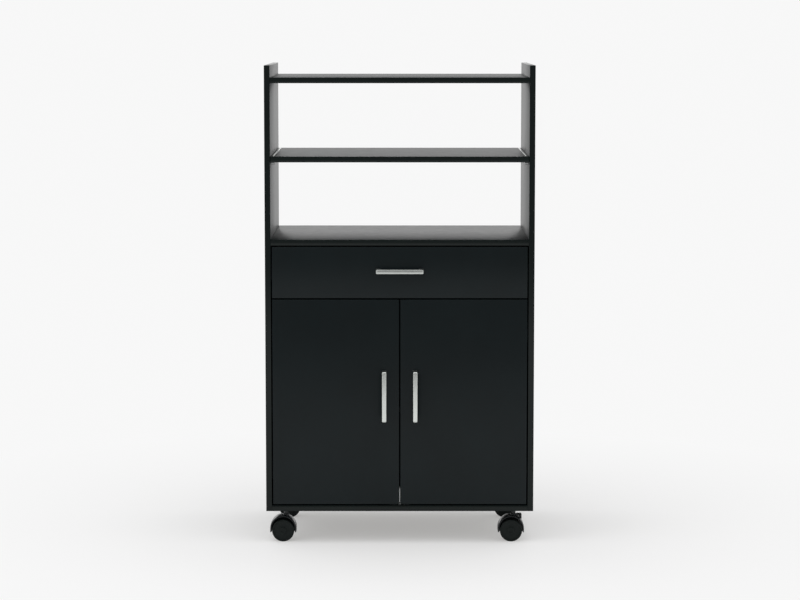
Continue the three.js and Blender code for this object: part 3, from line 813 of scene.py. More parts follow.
class Level(StrEnum):
    """Height of a hinge or a shelf pin, as its nodes are named."""

    UPPER = "upper"
    LOWER = "lower"


class End(StrEnum):
    """End of a side board that a shelf pin is near, as its node is named."""

    FRONT = "front"
    BACK = "back"


class Corner(StrEnum):
    """Corner of the case that a caster is under, as its nodes are named."""

    FRONT_LEFT = "front_left"
    FRONT_RIGHT = "front_right"
    BACK_LEFT = "back_left"
    BACK_RIGHT = "back_right"


def middle_of(node: str) -> Vector:
    """Returns the middle of a CAD node's box."""
    low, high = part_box(node)
    return (low + high) / 2


def height(z: float) -> Vector:
    """Returns a step straight up."""
    return Vector((0, 0, z))


def at(corner: Vector, x: float | None = None, y: float | None = None, z: float | None = None) -> Vector:
    """Moves a place to another X, Y or Z.

    Args:
        corner: The place.
        x: Its new X, if that changes.
        y: Its new Y, if that changes.
        z: Its new Z, if that changes.

    Returns:
        The new place.
    """
    moved = corner.copy()
    for axis, value in enumerate((x, y, z)):
        if value is not None:
            moved[axis] = value
    return moved


@dataclass
class Fasteners:
    """Screws and fitting covers, each modelled once and copied to its places."""

    head_radius: float = 3.6 * MM
    head_height: float = 1.5 * MM
    head_round: float = 0.825 * MM
    slot_width: float = 1.0 * MM
    slot_length: float = 4.4 * MM
    cover_radius: float = 8.5 * MM
    cover_height: float = 0.8 * MM
    cover_rim: float = 1.2 * MM
    cover_step: float = 0.5 * MM
    cover_dip: float = 0.3 * MM
    cover_edge: float = 0.25 * MM

    def __post_init__(self) -> None:
        """Models the patterns, standing on the origin and facing up along Z."""
        self.screw = self._screw()
        self.cover = self._cover()

    def _screw(self) -> Piece:
        """Models a pan head with a cross recess.

        Returns:
            The screw's head.
        """
        top = height(self.head_height)
        head = Bench.rod("screw_pattern", top / 2, self.head_radius, self.head_height, Along.Z, sides=20)
        Bench.chamfer(head, self.head_round, lambda middle, way: middle.z > top.z - HAIR, steps=3)
        long, wide = self.slot_length / 2, self.slot_width / 2
        for x, y in ((long, wide), (wide, long)):
            arm = Vector((x, y, self.head_height / 2))
            Bench.carve(head, Bench.block("slot", top - arm, top + arm))
        return Bench.smooth(head)

    def _cover(self) -> Piece:
        """Models a thin disc with a dipped middle, which covers a cam fitting.

        Returns:
            The cover.
        """
        middle = height(self.cover_height / 2)
        disc = Bench.rod("cover_pattern", middle, self.cover_radius, self.cover_height, Along.Z, sides=32)
        steps = (self.cover_rim, 0), (self.cover_step, -self.cover_dip)
        Bench.terrace(disc, lambda centre, normal: normal.z > FACING, *steps)
        return Bench.soften(disc, self.cover_edge)

    def set_at(self, name: str, pattern: Piece, facing: Vector, *places: Vector) -> Piece:
        """Copies a pattern to several places as one piece.

        Args:
            name: The new piece's name.
            pattern: The screw or the cover.
            facing: The way that their heads face.
            places: Where each copy stands.

        Returns:
            The copies as one piece.
        """
        turn = UP.rotation_difference(facing).to_matrix().to_4x4()
        return Bench.gather(
            name, *(Bench.copy(pattern, name, Matrix.Translation(place) @ turn) for place in places)
        )

    def clear(self) -> None:
        """Takes the patterns away."""
        for pattern in (self.screw, self.cover):
            bpy.data.objects.remove(pattern)


@dataclass
class Assembly:
    """Something built of pieces that ride on the cart's bodies."""

    fasteners: Fasteners

    def dress(self, piece: Piece, finish: Finish, body: str, *nodes: str) -> None:
        """Gives a piece its finish and its body, and hides the CAD nodes that it stands for.

        Args:
            piece: The finished piece.
            finish: What it is covered with.
            body: The CAD body that it moves with.
            nodes: CAD nodes that it replaces.
        """
        piece.data.materials.clear()
        piece.data.materials.append(finish.material())
        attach(piece, body)
        if nodes:
            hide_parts(*nodes)
        log.info("%s: %s on %s", type(self).__name__, piece.name, body)

    def redress(self, node: str, finish: Finish) -> None:
        """Gives a CAD node that stays a better finish.

        Args:
            node: The CAD node.
            finish: What it is covered with.
        """
        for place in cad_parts[node].material_slots:
            place.material = finish.material()
        log.info("%s: %s keeps its solid", type(self).__name__, node)

    def set_screws(self, name: str, body: str, facing: Vector, *places: Vector) -> None:
        """Sets the heads of screws.

        Args:
            name: The name that they have together.
            body: The CAD body that they move with.
            facing: The way that their heads face.
            places: Where each head stands.
        """
        screws = self.fasteners.set_at(name, self.fasteners.screw, facing, *places)
        self.dress(screws, BRIGHT_ZINC, body)

    @staticmethod
    def groove(panel: str, play: float = 0.3 * MM) -> Piece:
        """Adds the room that a thin panel takes in the boards round it.

        Args:
            panel: The panel's CAD node.
            play: Room round the panel.

        Returns:
            The room as a block.
        """
        low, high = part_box(panel)
        room = Vector((play, play, play))
        return Bench.block("groove", low - room, high + room)


@dataclass
class Case(Assembly):
    """Boards of the case with edge bands, the panel's grooves and the fittings' covers."""

    band: float = 0.8 * MM
    edge: float = 0.25 * MM
    lining_inset: float = 2.3 * MM
    lining_width: float = 3.8 * MM
    lining_setback: float = 18 * MM
    lining_depth: float = 1.2 * MM
    lining_sink: float = 0.02 * MM
    lining_stop: float = 0.3 * MM
    lining_edge: float = 0.15 * MM
    cover_inset: float = 32 * MM
    cover_setback: float = 50 * MM

    def build(self) -> None:
        """Builds every board of the case."""
        for side in Side:
            self._side(f"{side}_side_panel")
        for shelf in ("top_shelf", "worktop", "bottom_board"):
            self._board(shelf, grooved=shelf != "top_shelf")
            self._covers(shelf)
        self._board("cabinet_shelf")
        self._middle_shelf("middle_shelf")
        self.redress("back_panel", BLACK_HARDBOARD)

    def _banded(self, node: str, low: Vector, high: Vector) -> Piece:
        """Models a board and dresses the band on its front edge.

        Args:
            node: The board's CAD node.
            low: Lowest corner of the whole.
            high: Highest corner of the whole.

        Returns:
            The board behind its band.
        """
        seam = low.y + self.band
        self._band(f"{node}_front_band", low, at(high, y=seam))
        return Bench.block(f"{node}_core", at(low, y=seam), high)

    def _band(self, name: str, low: Vector, high: Vector) -> None:
        """Builds one edge band.

        Args:
            name: Its name.
            low: Its lowest corner.
            high: Its highest corner.
        """
        self.dress(Bench.soften(Bench.block(name, low, high), self.edge), BLACK_BAND, "root")

    def _finish(self, board: Piece, node: str) -> None:
        """Softens and dresses a board. The three shelves are a little duller.

        Args:
            board: The board.
            node: The CAD node that it replaces.
        """
        finish = BLACK_SHELF if node.endswith("shelf") else BLACK_MELAMINE
        self.dress(Bench.soften(board, self.edge), finish, "root", node)

    def _side(self, node: str) -> None:
        """Builds a side board with bands on its front and top edges.

        Args:
            node: The CAD node that it replaces.
        """
        low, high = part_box(node)
        seam = high.z - self.band
        self._band(f"{node}_top_band", at(low, z=seam), high)
        board = self._banded(node, low, at(high, z=seam))
        self._finish(Bench.carve(board, self.groove("back_panel")), node)

    def _board(self, node: str, grooved: bool = False) -> None:
        """Builds a board that lies between the sides.

        Args:
            node: The CAD node that it replaces.
            grooved: Whether the back panel stands in it.
        """
        board = self._banded(node, *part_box(node))
        if grooved:
            Bench.carve(board, self.groove("back_panel"))
        self._finish(board, node)

    def _middle_shelf(self, node: str) -> None:
        """Builds the lift-out shelf, with a bright strip let into its top near each end.

        Args:
            node: The CAD node that it replaces.
        """
        low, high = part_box(node)
        board = self._banded(node, low, high)
        starts = low.x + self.lining_inset, high.x - self.lining_inset - self.lining_width
        for side, start in zip(Side, starts, strict=True):
            near = Vector((start, low.y + self.lining_setback, high.z - self.lining_depth))
            far = Vector((start + self.lining_width, high.y - self.lining_stop, high.z - self.lining_sink))
            Bench.carve(board, Bench.block("slot", near, far + Vector((0, self.lining_stop + MM, MM))))
            lining = Bench.block(f"{node}_{side}_lining", near, far)
            self.dress(Bench.soften(lining, self.lining_edge), BRIGHT_LINING, "root")
        self._finish(board, node)

    def _covers(self, node: str) -> None:
        """Puts covers over the cam fittings under a board's four corners.

        Args:
            node: The board's CAD node.
        """
        low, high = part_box(node)
        places = [
            Vector((x, y, low.z))
            for x in (low.x + self.cover_inset, high.x - self.cover_inset)
            for y in (low.y + self.cover_setback, high.y - self.cover_setback)
        ]
        covers = self.fasteners.set_at(f"{node}_fitting_covers", self.fasteners.cover, DOWN, *places)
        self.dress(covers, GLOSSY_RESIN, "root")


@dataclass
class ShelfPins(Assembly):
    """Steel pins that the two loose shelves rest on."""

    rim: float = 0.7 * MM
    step: float = 0.3 * MM
    dip: float = 0.25 * MM
    edge: float = 0.3 * MM

    def build(self) -> None:
        """Builds the eight pins from where their solids are."""
        for side in Side:
            for level in Level:
                for end in End:
                    self._pin(f"{side}_{level}_{end}_shelf_pin")

    def _pin(self, node: str) -> None:
        """Builds one round pin with dipped ends.

        Args:
            node: The CAD node that it replaces.
        """
        low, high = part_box(node)
        size = high - low
        pin = Bench.rod(f"{node}_dressed", (low + high) / 2, size.z / 2, size.x, Along.X, sides=24)
        steps = (self.rim, 0), (self.step, -self.dip)
        Bench.terrace(pin, lambda centre, normal: abs(normal.x) > FACING, *steps)
        self.dress(Bench.soften(pin, self.edge), BRIGHT_ZINC, "root", node)


@dataclass
class BowHandles(Assembly):
    """Bow handles of satin nickel: a long square bar on two legs, with a screw in each."""

    leg: float = 11 * MM
    bar: float = 8 * MM
    outer_corner: float = 5 * MM
    inner_corner: float = 3 * MM
    crown: float = 1.8 * MM
    drawer_screw: float = 48 * MM
    door_screw: float = 52 * MM

    def build(self) -> None:
        """Fits the drawer's handle and one on each door."""
        across, upright = self._bow("drawer_handle"), self._bow("left_door_handle")
        # The drawer handle gets the nickel with painted shade, and the doors' handles get the nickel with
        # painted light.
        self._fit("drawer", "drawer_front", NICKEL_ACROSS_PAINTED_SHADE, across, self.drawer_screw)
        for side in Side:
            door = f"{side}_door"
            self._fit(door, door, NICKEL_UPRIGHT_PAINTED_LIGHT, upright, self.door_screw)
        for pattern in (across, upright):
            bpy.data.objects.remove(pattern)

    def _bow(self, node: str) -> Piece:
        """Models a handle along X that is as large as a node's solid.

        Args:
            node: The CAD node that gives the sizes.

        Returns:
            The handle with its middle on the origin and its feet on Y zero.
        """
        low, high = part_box(node)
        size = high - low
        width, length = sorted((size.x, size.z))
        half, depth = Vector((length, 0, width)) / 2, size.y
        bow = Bench.block("bow_pattern", at(-half, y=-depth), half)
        Bench.chamfer(bow, self.outer_corner, self._is_upright_before(HAIR - depth), steps=6)
        Bench.chamfer(bow, self.crown, self._is_rim(half.z), steps=3)
        inner, beyond = half.x - self.leg, half.z + MM
        hollow = Bench.block(
            "hollow", Vector((-inner, self.bar - depth, -beyond)), Vector((inner, MM, beyond))
        )
        Bench.chamfer(hollow, self.inner_corner, self._is_upright_before(0))
        return Bench.smooth(Bench.carve(bow, hollow))

    @staticmethod
    def _is_upright_before(limit: float) -> Test:
        """Returns a test for the edges along Z with less than a limit of Y."""
        return lambda middle, way: runs_up(middle, way) and middle.y < limit

    @staticmethod
    def _is_rim(reach: float) -> Test:
        """Makes a test for the edges round the two long faces, save those at the feet.

        Args:
            reach: Distance of those faces from the middle.

        Returns:
            The test.
        """
        return lambda middle, way: abs(abs(middle.z) - reach) < HAIR and middle.y < -HAIR

    def _fit(self, body: str, board: str, finish: BrushedNickel, pattern: Piece, reach: float) -> None:
        """Copies a handle to where its solid is, and sets its screws in the back of its board.

        Args:
            body: The CAD body that it moves with, which its node is named for.
            board: The CAD node of the board that it is on.
            finish: Its finish, whose lines follow the bar and whose colour holds painted light or shade.
            pattern: The handle, on the origin.
            reach: Distance of its screws from its middle.
        """
        node = f"{body}_handle"
        middle = middle_of(node)
        place = Matrix.Translation(at(middle, y=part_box(node)[1].y))
        step = Vector((reach, 0, 0))
        if finish.lines is Along.Z:
            place = place @ Matrix.Rotation(pi / 2, 4, "Y")
            step = height(reach)
        self.dress(Bench.copy(pattern, f"{node}_bow", place), finish, body, node)
        back = at(middle, y=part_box(board)[1].y)
        self.set_screws(f"{node}_screws", body, REARWARD, back - step, back + step)


@dataclass
class Doors(Assembly):
    """Two inset doors with their hinges, the hinges' screws and the strikes."""

    edge: float = 1.0 * MM
    steel_edge: float = 0.25 * MM
    cup_radius: float = 17.8 * MM
    cup_depth: float = 10.7 * MM
    ear_screw: float = 20.5 * MM
    plate_thickness: float = 2 * MM
    plate_setback: float = 14 * MM
    plate_screw: float = 15 * MM
    strike_corner: float = 2 * MM
    strike_edge: float = 0.2 * MM

    def build(self) -> None:
        """Builds both doors and what is fixed to them."""
        for side in Side:
            self._door(side)
            for level in Level:
                self._hinge(side, level)
            self._strike(f"{side}_strike", f"{side}_door")

    def _door(self, side: Side) -> None:
        """Builds a door with round pockets for its cups.

        Args:
            side: The side that it hangs on.
        """
        node = f"{side}_door"
        low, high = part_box(node)
        panel = Bench.soften(Bench.block(f"{node}_panel", low, high), self.edge, steps=3)
        for level in Level:
            centre = at(middle_of(f"{side}_{level}_hinge_cup"), y=high.y)
            pocket = Bench.rod("pocket", centre, self.cup_radius, 2 * self.cup_depth, Along.Y, sides=48)
            Bench.carve(panel, pocket)
        self.dress(Bench.smooth(panel), BLACK_MELAMINE, node, node)

    def _hinge(self, side: Side, level: Level) -> None:
        """Softens a cup and an arm and adds their screws.

        Args:
            side: The side that the door hangs on.
            level: Which of the door's hinges it is.
        """
        cup, arm = f"{side}_{level}_hinge_cup", f"{side}_{level}_hinge_arm"
        body = f"{side}_door"
        self.dress(Bench.traced(f"{cup}_pressed", cup, self.steel_edge), BRIGHT_ZINC, body, cup)
        ears = at(middle_of(cup), y=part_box(cup)[1].y)
        lift = height(self.ear_screw)
        self.set_screws(f"{cup}_screws", body, REARWARD, ears - lift, ears + lift)
        # The arm's zinc is painted dark: painted shade inside the cabinet.
        self.dress(Bench.traced(f"{arm}_pressed", arm, self.steel_edge), DARK_STEEL_AND_PAINTED_SHADE, "root", arm)
        low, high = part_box(arm)
        wall = low.x if side is Side.LEFT else high.x
        face = wall + side.inward * self.plate_thickness
        feet = at(middle_of(arm), x=face, y=high.y - self.plate_setback)
        lift = height(self.plate_screw)
        self.set_screws(f"{arm}_screws", "root", Vector((side.inward, 0, 0)), feet - lift, feet + lift)

    def _strike(self, node: str, body: str) -> None:
        """Builds the small steel plate that the catch holds.

        Args:
            node: The CAD node that it replaces.
            body: The door that it is on.
        """
        plate = Bench.block(f"{node}_plate", *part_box(node))
        Bench.chamfer(plate, self.strike_corner, runs_back)
        self.dress(Bench.soften(plate, self.strike_edge), BRIGHT_ZINC, body, node)


@dataclass
class DoubleCatch(Assembly):
    """Pale double catch: a body and a fin on a foot, a magnet for each door and two screws."""

    gap: float = 0.5 * MM
    depth: float = 15 * MM
    foot: float = 3 * MM
    foot_setback: float = 1 * MM
    top_corner: float = 3 * MM
    foot_corner: float = 4 * MM
    fin_half: float = 0.6 * MM
    fin_rise: float = 8 * MM
    magnet_shift: float = 12.5 * MM
    magnet_lift: float = 1 * MM
    pocket_half: Triple = (7 * MM, 1.2 * MM, 10 * MM)
    magnet_play: float = 0.5 * MM
    magnet_sink: float = 0.3 * MM
    edge: float = 0.3 * MM
    screw_shift: float = 13 * MM
    screw_from_back: float = 9 * MM

    def build(self) -> None:
        """Builds the catch behind the doors' two strikes."""
        low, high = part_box("door_catch")
        face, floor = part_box("left_strike")[1].y + self.gap, low.z + self.foot
        body = Bench.block("door_catch_body", at(low, y=face), at(high, y=face + self.depth))
        Bench.fuse(body, Bench.block("foot", at(low, y=face + self.foot_setback), at(high, z=floor)))
        Bench.chamfer(
            body, self.top_corner, lambda middle, way: runs_back(middle, way) and middle.z > high.z - MM
        )
        Bench.chamfer(
            body, self.foot_corner, lambda middle, way: runs_up(middle, way) and middle.y > high.y - MM
        )
        fin_low = Vector((-self.fin_half, low.y, low.z + self.fin_rise))
        fin_high = Vector((self.fin_half, face + self.depth / 2, high.z))
        Bench.fuse(body, Bench.block("fin", fin_low, fin_high))
        for side in Side:
            shift = -side.inward * self.magnet_shift
            self._magnet(side, body, Vector((shift, face, (low.z + high.z) / 2 + self.magnet_lift)))
        self.dress(Bench.soften(body, self.edge), PALE_RESIN, "root", "door_catch")
        back = high.y - self.screw_from_back
        feet = [Vector((shift, back, floor)) for shift in (-self.screw_shift, self.screw_shift)]
        self.set_screws("catch_screws", "root", UP, *feet)

    def _magnet(self, side: Side, body: Piece, middle: Vector) -> None:
        """Sinks a magnet into the catch's face.

        Args:
            side: The door that it holds.
            body: The catch's body.
            middle: The middle of its pocket.
        """
        half = Vector(self.pocket_half)
        Bench.carve(body, Bench.block("pocket", middle - half, middle + half))
        play = Vector((self.magnet_play, 0, self.magnet_play))
        near = middle - half + play + Vector((0, half.y + self.magnet_sink, 0))
        magnet = Bench.block(f"catch_magnet_{side}", near, middle + half - play)
        self.dress(Bench.soften(magnet, self.edge), DARK_STEEL_AND_PAINTED_SHADE, "root")


@dataclass
class Drawer(Assembly):
    """Drawer front, its box and the runners that it slides on."""

    edge: float = 1.0 * MM
    board_edge: float = 0.8 * MM
    steel_edge: float = 0.3 * MM
    web: float = 1.2 * MM
    screw_inset: float = 30 * MM

    def build(self) -> None:
        """Builds the drawer's boards and dresses its runners."""
        front = Bench.block("drawer_front_panel", *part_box("drawer_front"))
        Bench.carve(Bench.soften(front, self.edge, steps=3), self.groove("drawer_bottom"))
        self.dress(Bench.smooth(front), BLACK_MELAMINE, "drawer", "drawer_front")
        for node in ("drawer_left_side", "drawer_right_side", "drawer_back"):
            board = Bench.block(f"{node}_board", *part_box(node))
            Bench.carve(board, self.groove("drawer_bottom"))
            self.dress(Bench.soften(board, self.board_edge), DRAWER_FOIL, "drawer", node)
        self.redress("drawer_bottom", BLACK_HARDBOARD)
        for side in Side:
            self._runner(f"{side}_case_runner", DARK_STEEL_AND_PAINTED_SHADE, "root", side.inward)
            self._runner(f"{side}_drawer_runner", BRIGHT_ZINC, "drawer", -side.inward)

    def _runner(self, node: str, finish: Finish, body: str, facing: int) -> None:
        """Softens a steel channel and adds the three screws that hold it.

        Args:
            node: The CAD node that it replaces.
            finish: Its finish.
            body: The CAD body that it moves with.
            facing: The way along X that its open side faces.
        """
        low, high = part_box(node)
        self.dress(Bench.traced(f"{node}_channel", node, self.steel_edge), finish, body, node)
        wall = (low.x if facing > 0 else high.x) + facing * self.web
        middle = at((low + high) / 2, x=wall)
        ends = at(middle, y=low.y + self.screw_inset), middle, at(middle, y=high.y - self.screw_inset)
        self.set_screws(f"{node}_screws", body, Vector((facing, 0, 0)), *ends)


def upright(name: str, stem: Vector, radius: float, low: float, high: float) -> Piece:
    """Adds a round bar along a caster's stem.

    Args:
        name: The bar's name.
        stem: A place on the stem.
        radius: The bar's radius.
        low: Height of its lower end.
        high: Height of its upper end.

    Returns:
        The bar.
    """
    return Bench.rod(name, at(stem, z=(low + high) / 2), radius, high - low, Along.Z, sides=36)


@dataclass
class CasterPlates(Assembly):
    """Pressed mounting plates of the casters, each with a socket and four screws."""

    thickness: float = 2 * MM
    corner: float = 5 * MM
    edge: float = 0.35 * MM
    socket_radius: float = 10 * MM
    bore_radius: float = 5.3 * MM
    bore_beyond: float = 5 * MM
    screw_inset: float = 7 * MM

    def build(self) -> None:
        """Builds the four plates."""
        for corner in Corner:
            self._plate(f"{corner}_caster_plate")

    def _plate(self, node: str) -> None:
        """Builds one plate.

        Args:
            node: The CAD node that it replaces.
        """
        low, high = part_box(node)
        stem, under = (low + high) / 2, high.z - self.thickness
        plate = Bench.block(f"{node}_pressed", at(low, z=under), high)
        Bench.chamfer(plate, self.corner, runs_up, steps=5)
        socket = upright("socket", stem, self.socket_radius, low.z, high.z - self.thickness / 2)
        ends = low.z - self.bore_beyond, high.z + self.bore_beyond
        Bench.carve(Bench.fuse(plate, socket), upright("bore", stem, self.bore_radius, *ends))
        self.dress(Bench.soften(plate, self.edge), BRIGHT_ZINC, "root", node)
        reach = (high.x - low.x) / 2 - self.screw_inset
        shifts = [(x, y) for x in (-reach, reach) for y in (-reach, reach)]
        places = [Vector((stem.x + x, stem.y + y, under)) for x, y in shifts]
        self.set_screws(f"{node}_screws", "root", DOWN, *places)


@dataclass
class TwinWheels(Assembly):
    """Moulded wheels, two to a caster, modelled once and copied."""

    tread_round: float = 1.6 * MM
    rim: float = 3.4 * MM
    rim_step: float = 0.7 * MM
    recess: float = 1.6 * MM
    hub_radius: float = 8.0 * MM
    hub_step: float = 0.5 * MM
    hub_rise: float = 1.1 * MM
    hub_rim: float = 3.6 * MM
    dimple_step: float = 0.6 * MM
    dimple: float = 0.8 * MM
    edge: float = 0.25 * MM

    def build(self) -> None:
        """Builds the eight wheels."""
        pattern = self._wheel("front_left_near_wheel")
        for corner in Corner:
            self._fit(pattern, f"{corner}_near_wheel", outward=-1)
            self._fit(pattern, f"{corner}_far_wheel", outward=1)
        bpy.data.objects.remove(pattern)

    def _wheel(self, node: str) -> Piece:
        """Models a wheel with a sunk web and a raised hub that has a dimple.

        Args:
            node: The CAD node that gives the sizes.

        Returns:
            The wheel along Y, its outer face on Y zero and facing -Y.
        """
        low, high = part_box(node)
        width, radius = high.y - low.y, (low.z + high.z) / 2
        middle = Vector((0, width / 2, 0))
        wheel = Bench.rod("wheel_pattern", middle, radius, width, Along.Y, sides=ROUND)
        web = radius - self.rim - self.rim_step - self.hub_step - self.hub_radius
        steps = (
            (self.rim, 0),
            (self.rim_step, -self.recess),
            (web, 0),
            (self.hub_step, self.hub_rise),
            (self.hub_rim, 0),
            (self.dimple_step, -self.dimple),
        )
        Bench.terrace(wheel, lambda centre, normal: normal.y < -FACING, *steps)
        tread = radius - MM / 2
        Bench.chamfer(
            wheel, self.tread_round, lambda middle, way: middle.xz.length > tread and abs(way.y) < ACROSS
        )
        return Bench.soften(wheel, self.edge, sharpest=30)

    def _fit(self, pattern: Piece, node: str, outward: int) -> None:
        """Copies a wheel to where its solid is.

        Args:
            pattern: The wheel, on the origin.
            node: The CAD node that it replaces, and its body.
            outward: The way along Y that its outer face looks.
        """
        low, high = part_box(node)
        face, turn = (low.y, 0.0) if outward < 0 else (high.y, pi)
        place = Matrix.Translation(at((low + high) / 2, y=face)) @ Matrix.Rotation(turn, 4, "Z")
        self.dress(Bench.copy(pattern, f"{node}_moulded", place), WHEEL_RESIN, node, node)


def from_stem(stem: Vector, place: Triple) -> Vector:
    """Returns a place from a caster's stem, at a height above the floor."""
    return Vector((stem.x, stem.y, 0)) + Vector(place)


@dataclass
class BrakeLevers(Assembly):
    """Brake levers, each with an eye on a pin between two ears of its caster's hood.

    Lengths called near and far run along X from the caster's stem, and low and high are
    heights above the floor.
    """

    casters: tuple[Corner, ...] = (Corner.FRONT_RIGHT, Corner.BACK_LEFT)
    pivot: Triple = (9 * MM, 0, 58.385 * MM)
    pin_radius: float = 1.5 * MM
    pin_length: float = 17.4 * MM
    bore_radius: float = 1.9 * MM
    eye_radius: float = 3.3 * MM
    eye_room_radius: float = 3.7 * MM
    eye_room_length: float = 14.4 * MM
    ear_radius: float = 3.2 * MM
    ear_thickness: float = 2 * MM
    ear_shift: float = 7.3 * MM
    ear_drop: float = 5 * MM
    ear_edge: float = 0.3 * MM
    half_width: float = 6 * MM
    through: float = 20 * MM
    neck_far: float = 14.5 * MM
    neck_low: float = 56.885 * MM
    neck_high: float = 61.685 * MM
    tab_near: float = 12.8 * MM
    tab_low: float = 46 * MM
    tab_corner: float = 1.5 * MM
    tab_gap: float = 2 * MM
    shoe_far: float = 16.2 * MM
    shoe_low: float = 43.68 * MM
    shoe_width: float = 2.4 * MM
    slot_near: float = 10.4 * MM
    slot_far: float = 17.4 * MM
    slot_low: float = 34 * MM
    slot_high: float = 60 * MM
    slot_start: float = 3.2 * MM
    slot_width: float = 4 * MM
    edge: float = 0.5 * MM
    ribs: int = 2
    rib_half: Triple = (0.35 * MM, 4.5 * MM, 0.35 * MM)
    rib_edge: float = 0.2 * MM
    rib_from_tip: float = 2.2 * MM
    rib_pitch: float = 1.7 * MM

    def room(self, stem: Vector) -> list[Piece]:
        """Adds what is cut out of a hood for its lever.

        Args:
            stem: A place on the caster's stem.

        Returns:
            A slot for a shoe on each side of the web, and room for the eye.
        """
        slots = []
        for start in (-self.slot_start - self.slot_width, self.slot_start):
            near = from_stem(stem, (self.slot_near, start, self.slot_low))
            far = from_stem(stem, (self.slot_far, start + self.slot_width, self.slot_high))
            slots.append(Bench.block("slot", near, far))
        pivot, length = from_stem(stem, self.pivot), self.eye_room_length
        return [*slots, Bench.rod("room", pivot, self.eye_room_radius, length, Along.Y, sides=40)]

    def ears(self, stem: Vector) -> list[Piece]:
        """Models the two ears and the pin that carry a lever.

        Args:
            stem: A place on the caster's stem.

        Returns:
            The ears and the pin.
        """
        pivot = from_stem(stem, self.pivot)
        parts = []
        for shift in (-self.ear_shift, self.ear_shift):
            middle = pivot + Vector((0, shift, 0))
            ear = Bench.rod("ear", middle, self.ear_radius, self.ear_thickness, Along.Y, sides=28)
            Bench.pull(ear, lambda centre, normal: normal.z < -LEANING, (0, 0, -self.ear_drop))
            parts.append(Bench.soften(ear, self.ear_edge))
        return [*parts, Bench.rod("pin", pivot, self.pin_radius, self.pin_length, Along.Y, sides=20)]

    def lever(self, corner: Corner, stem: Vector, hood: Vector, hood_radius: float) -> None:
        """Builds a lever: an eye, a neck, a ribbed tab and a shoe over each wheel.

        Args:
            corner: The corner that its caster is under.
            stem: A place on the caster's stem.
            hood: The middle of its hood's round part.
            hood_radius: The hood's radius.
        """
        node = f"{corner}_brake_lever"
        low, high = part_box(node)
        pivot = from_stem(stem, self.pivot)
        eye = Bench.rod(f"{node}_moulded", pivot, self.eye_radius, high.y - low.y, Along.Y, sides=32)
        near = from_stem(stem, (self.pivot[0], -self.half_width, self.neck_low))
        far = from_stem(stem, (self.neck_far, self.half_width, self.neck_high))
        neck = Bench.block("neck", near, far)
        for part in (eye, neck):
            bore = Bench.rod("bore", pivot, self.bore_radius, self.through, Along.Y, sides=24)
            Bench.carve(part, bore)
        near, tip = from_stem(stem, (self.tab_near, -self.half_width, self.tab_low)), high.x - MM
        tab = Bench.block("tab", near, high)
        Bench.chamfer(
            tab, self.tab_corner, lambda middle, way: runs_back(middle, way) and middle.x > tip
        )
        gap = Bench.rod("gap", hood, hood_radius + self.tab_gap, self.through, Along.Y, sides=ROUND)
        Bench.carve(tab, gap)
        parts = [Bench.soften(part, self.edge) for part in (eye, neck, tab, *self._shoes(stem))]
        half = Vector(self.rib_half)
        for index in range(self.ribs):
            from_tip = self.rib_from_tip + index * self.rib_pitch
            middle = Vector((high.x - from_tip, (low.y + high.y) / 2, high.z))
            parts.append(Bench.soften(Bench.block("rib", middle - half, middle + half), self.rib_edge))
        self.dress(Bench.gather(f"{node}_moulded", *parts), GLOSSY_RESIN, f"{corner}_brake", node)

    def _shoes(self, stem: Vector) -> list[Piece]:
        """Adds a lever's two shoes, one over each wheel.

        Args:
            stem: A place on the caster's stem.

        Returns:
            The shoes.
        """
        shoes = []
        for start in (-self.half_width, self.half_width - self.shoe_width):
            near = from_stem(stem, (self.tab_near, start, self.shoe_low))
            far = from_stem(stem, (self.shoe_far, start + self.shoe_width, self.pivot[2]))
            shoes.append(Bench.block("shoe", near, far))
        return shoes


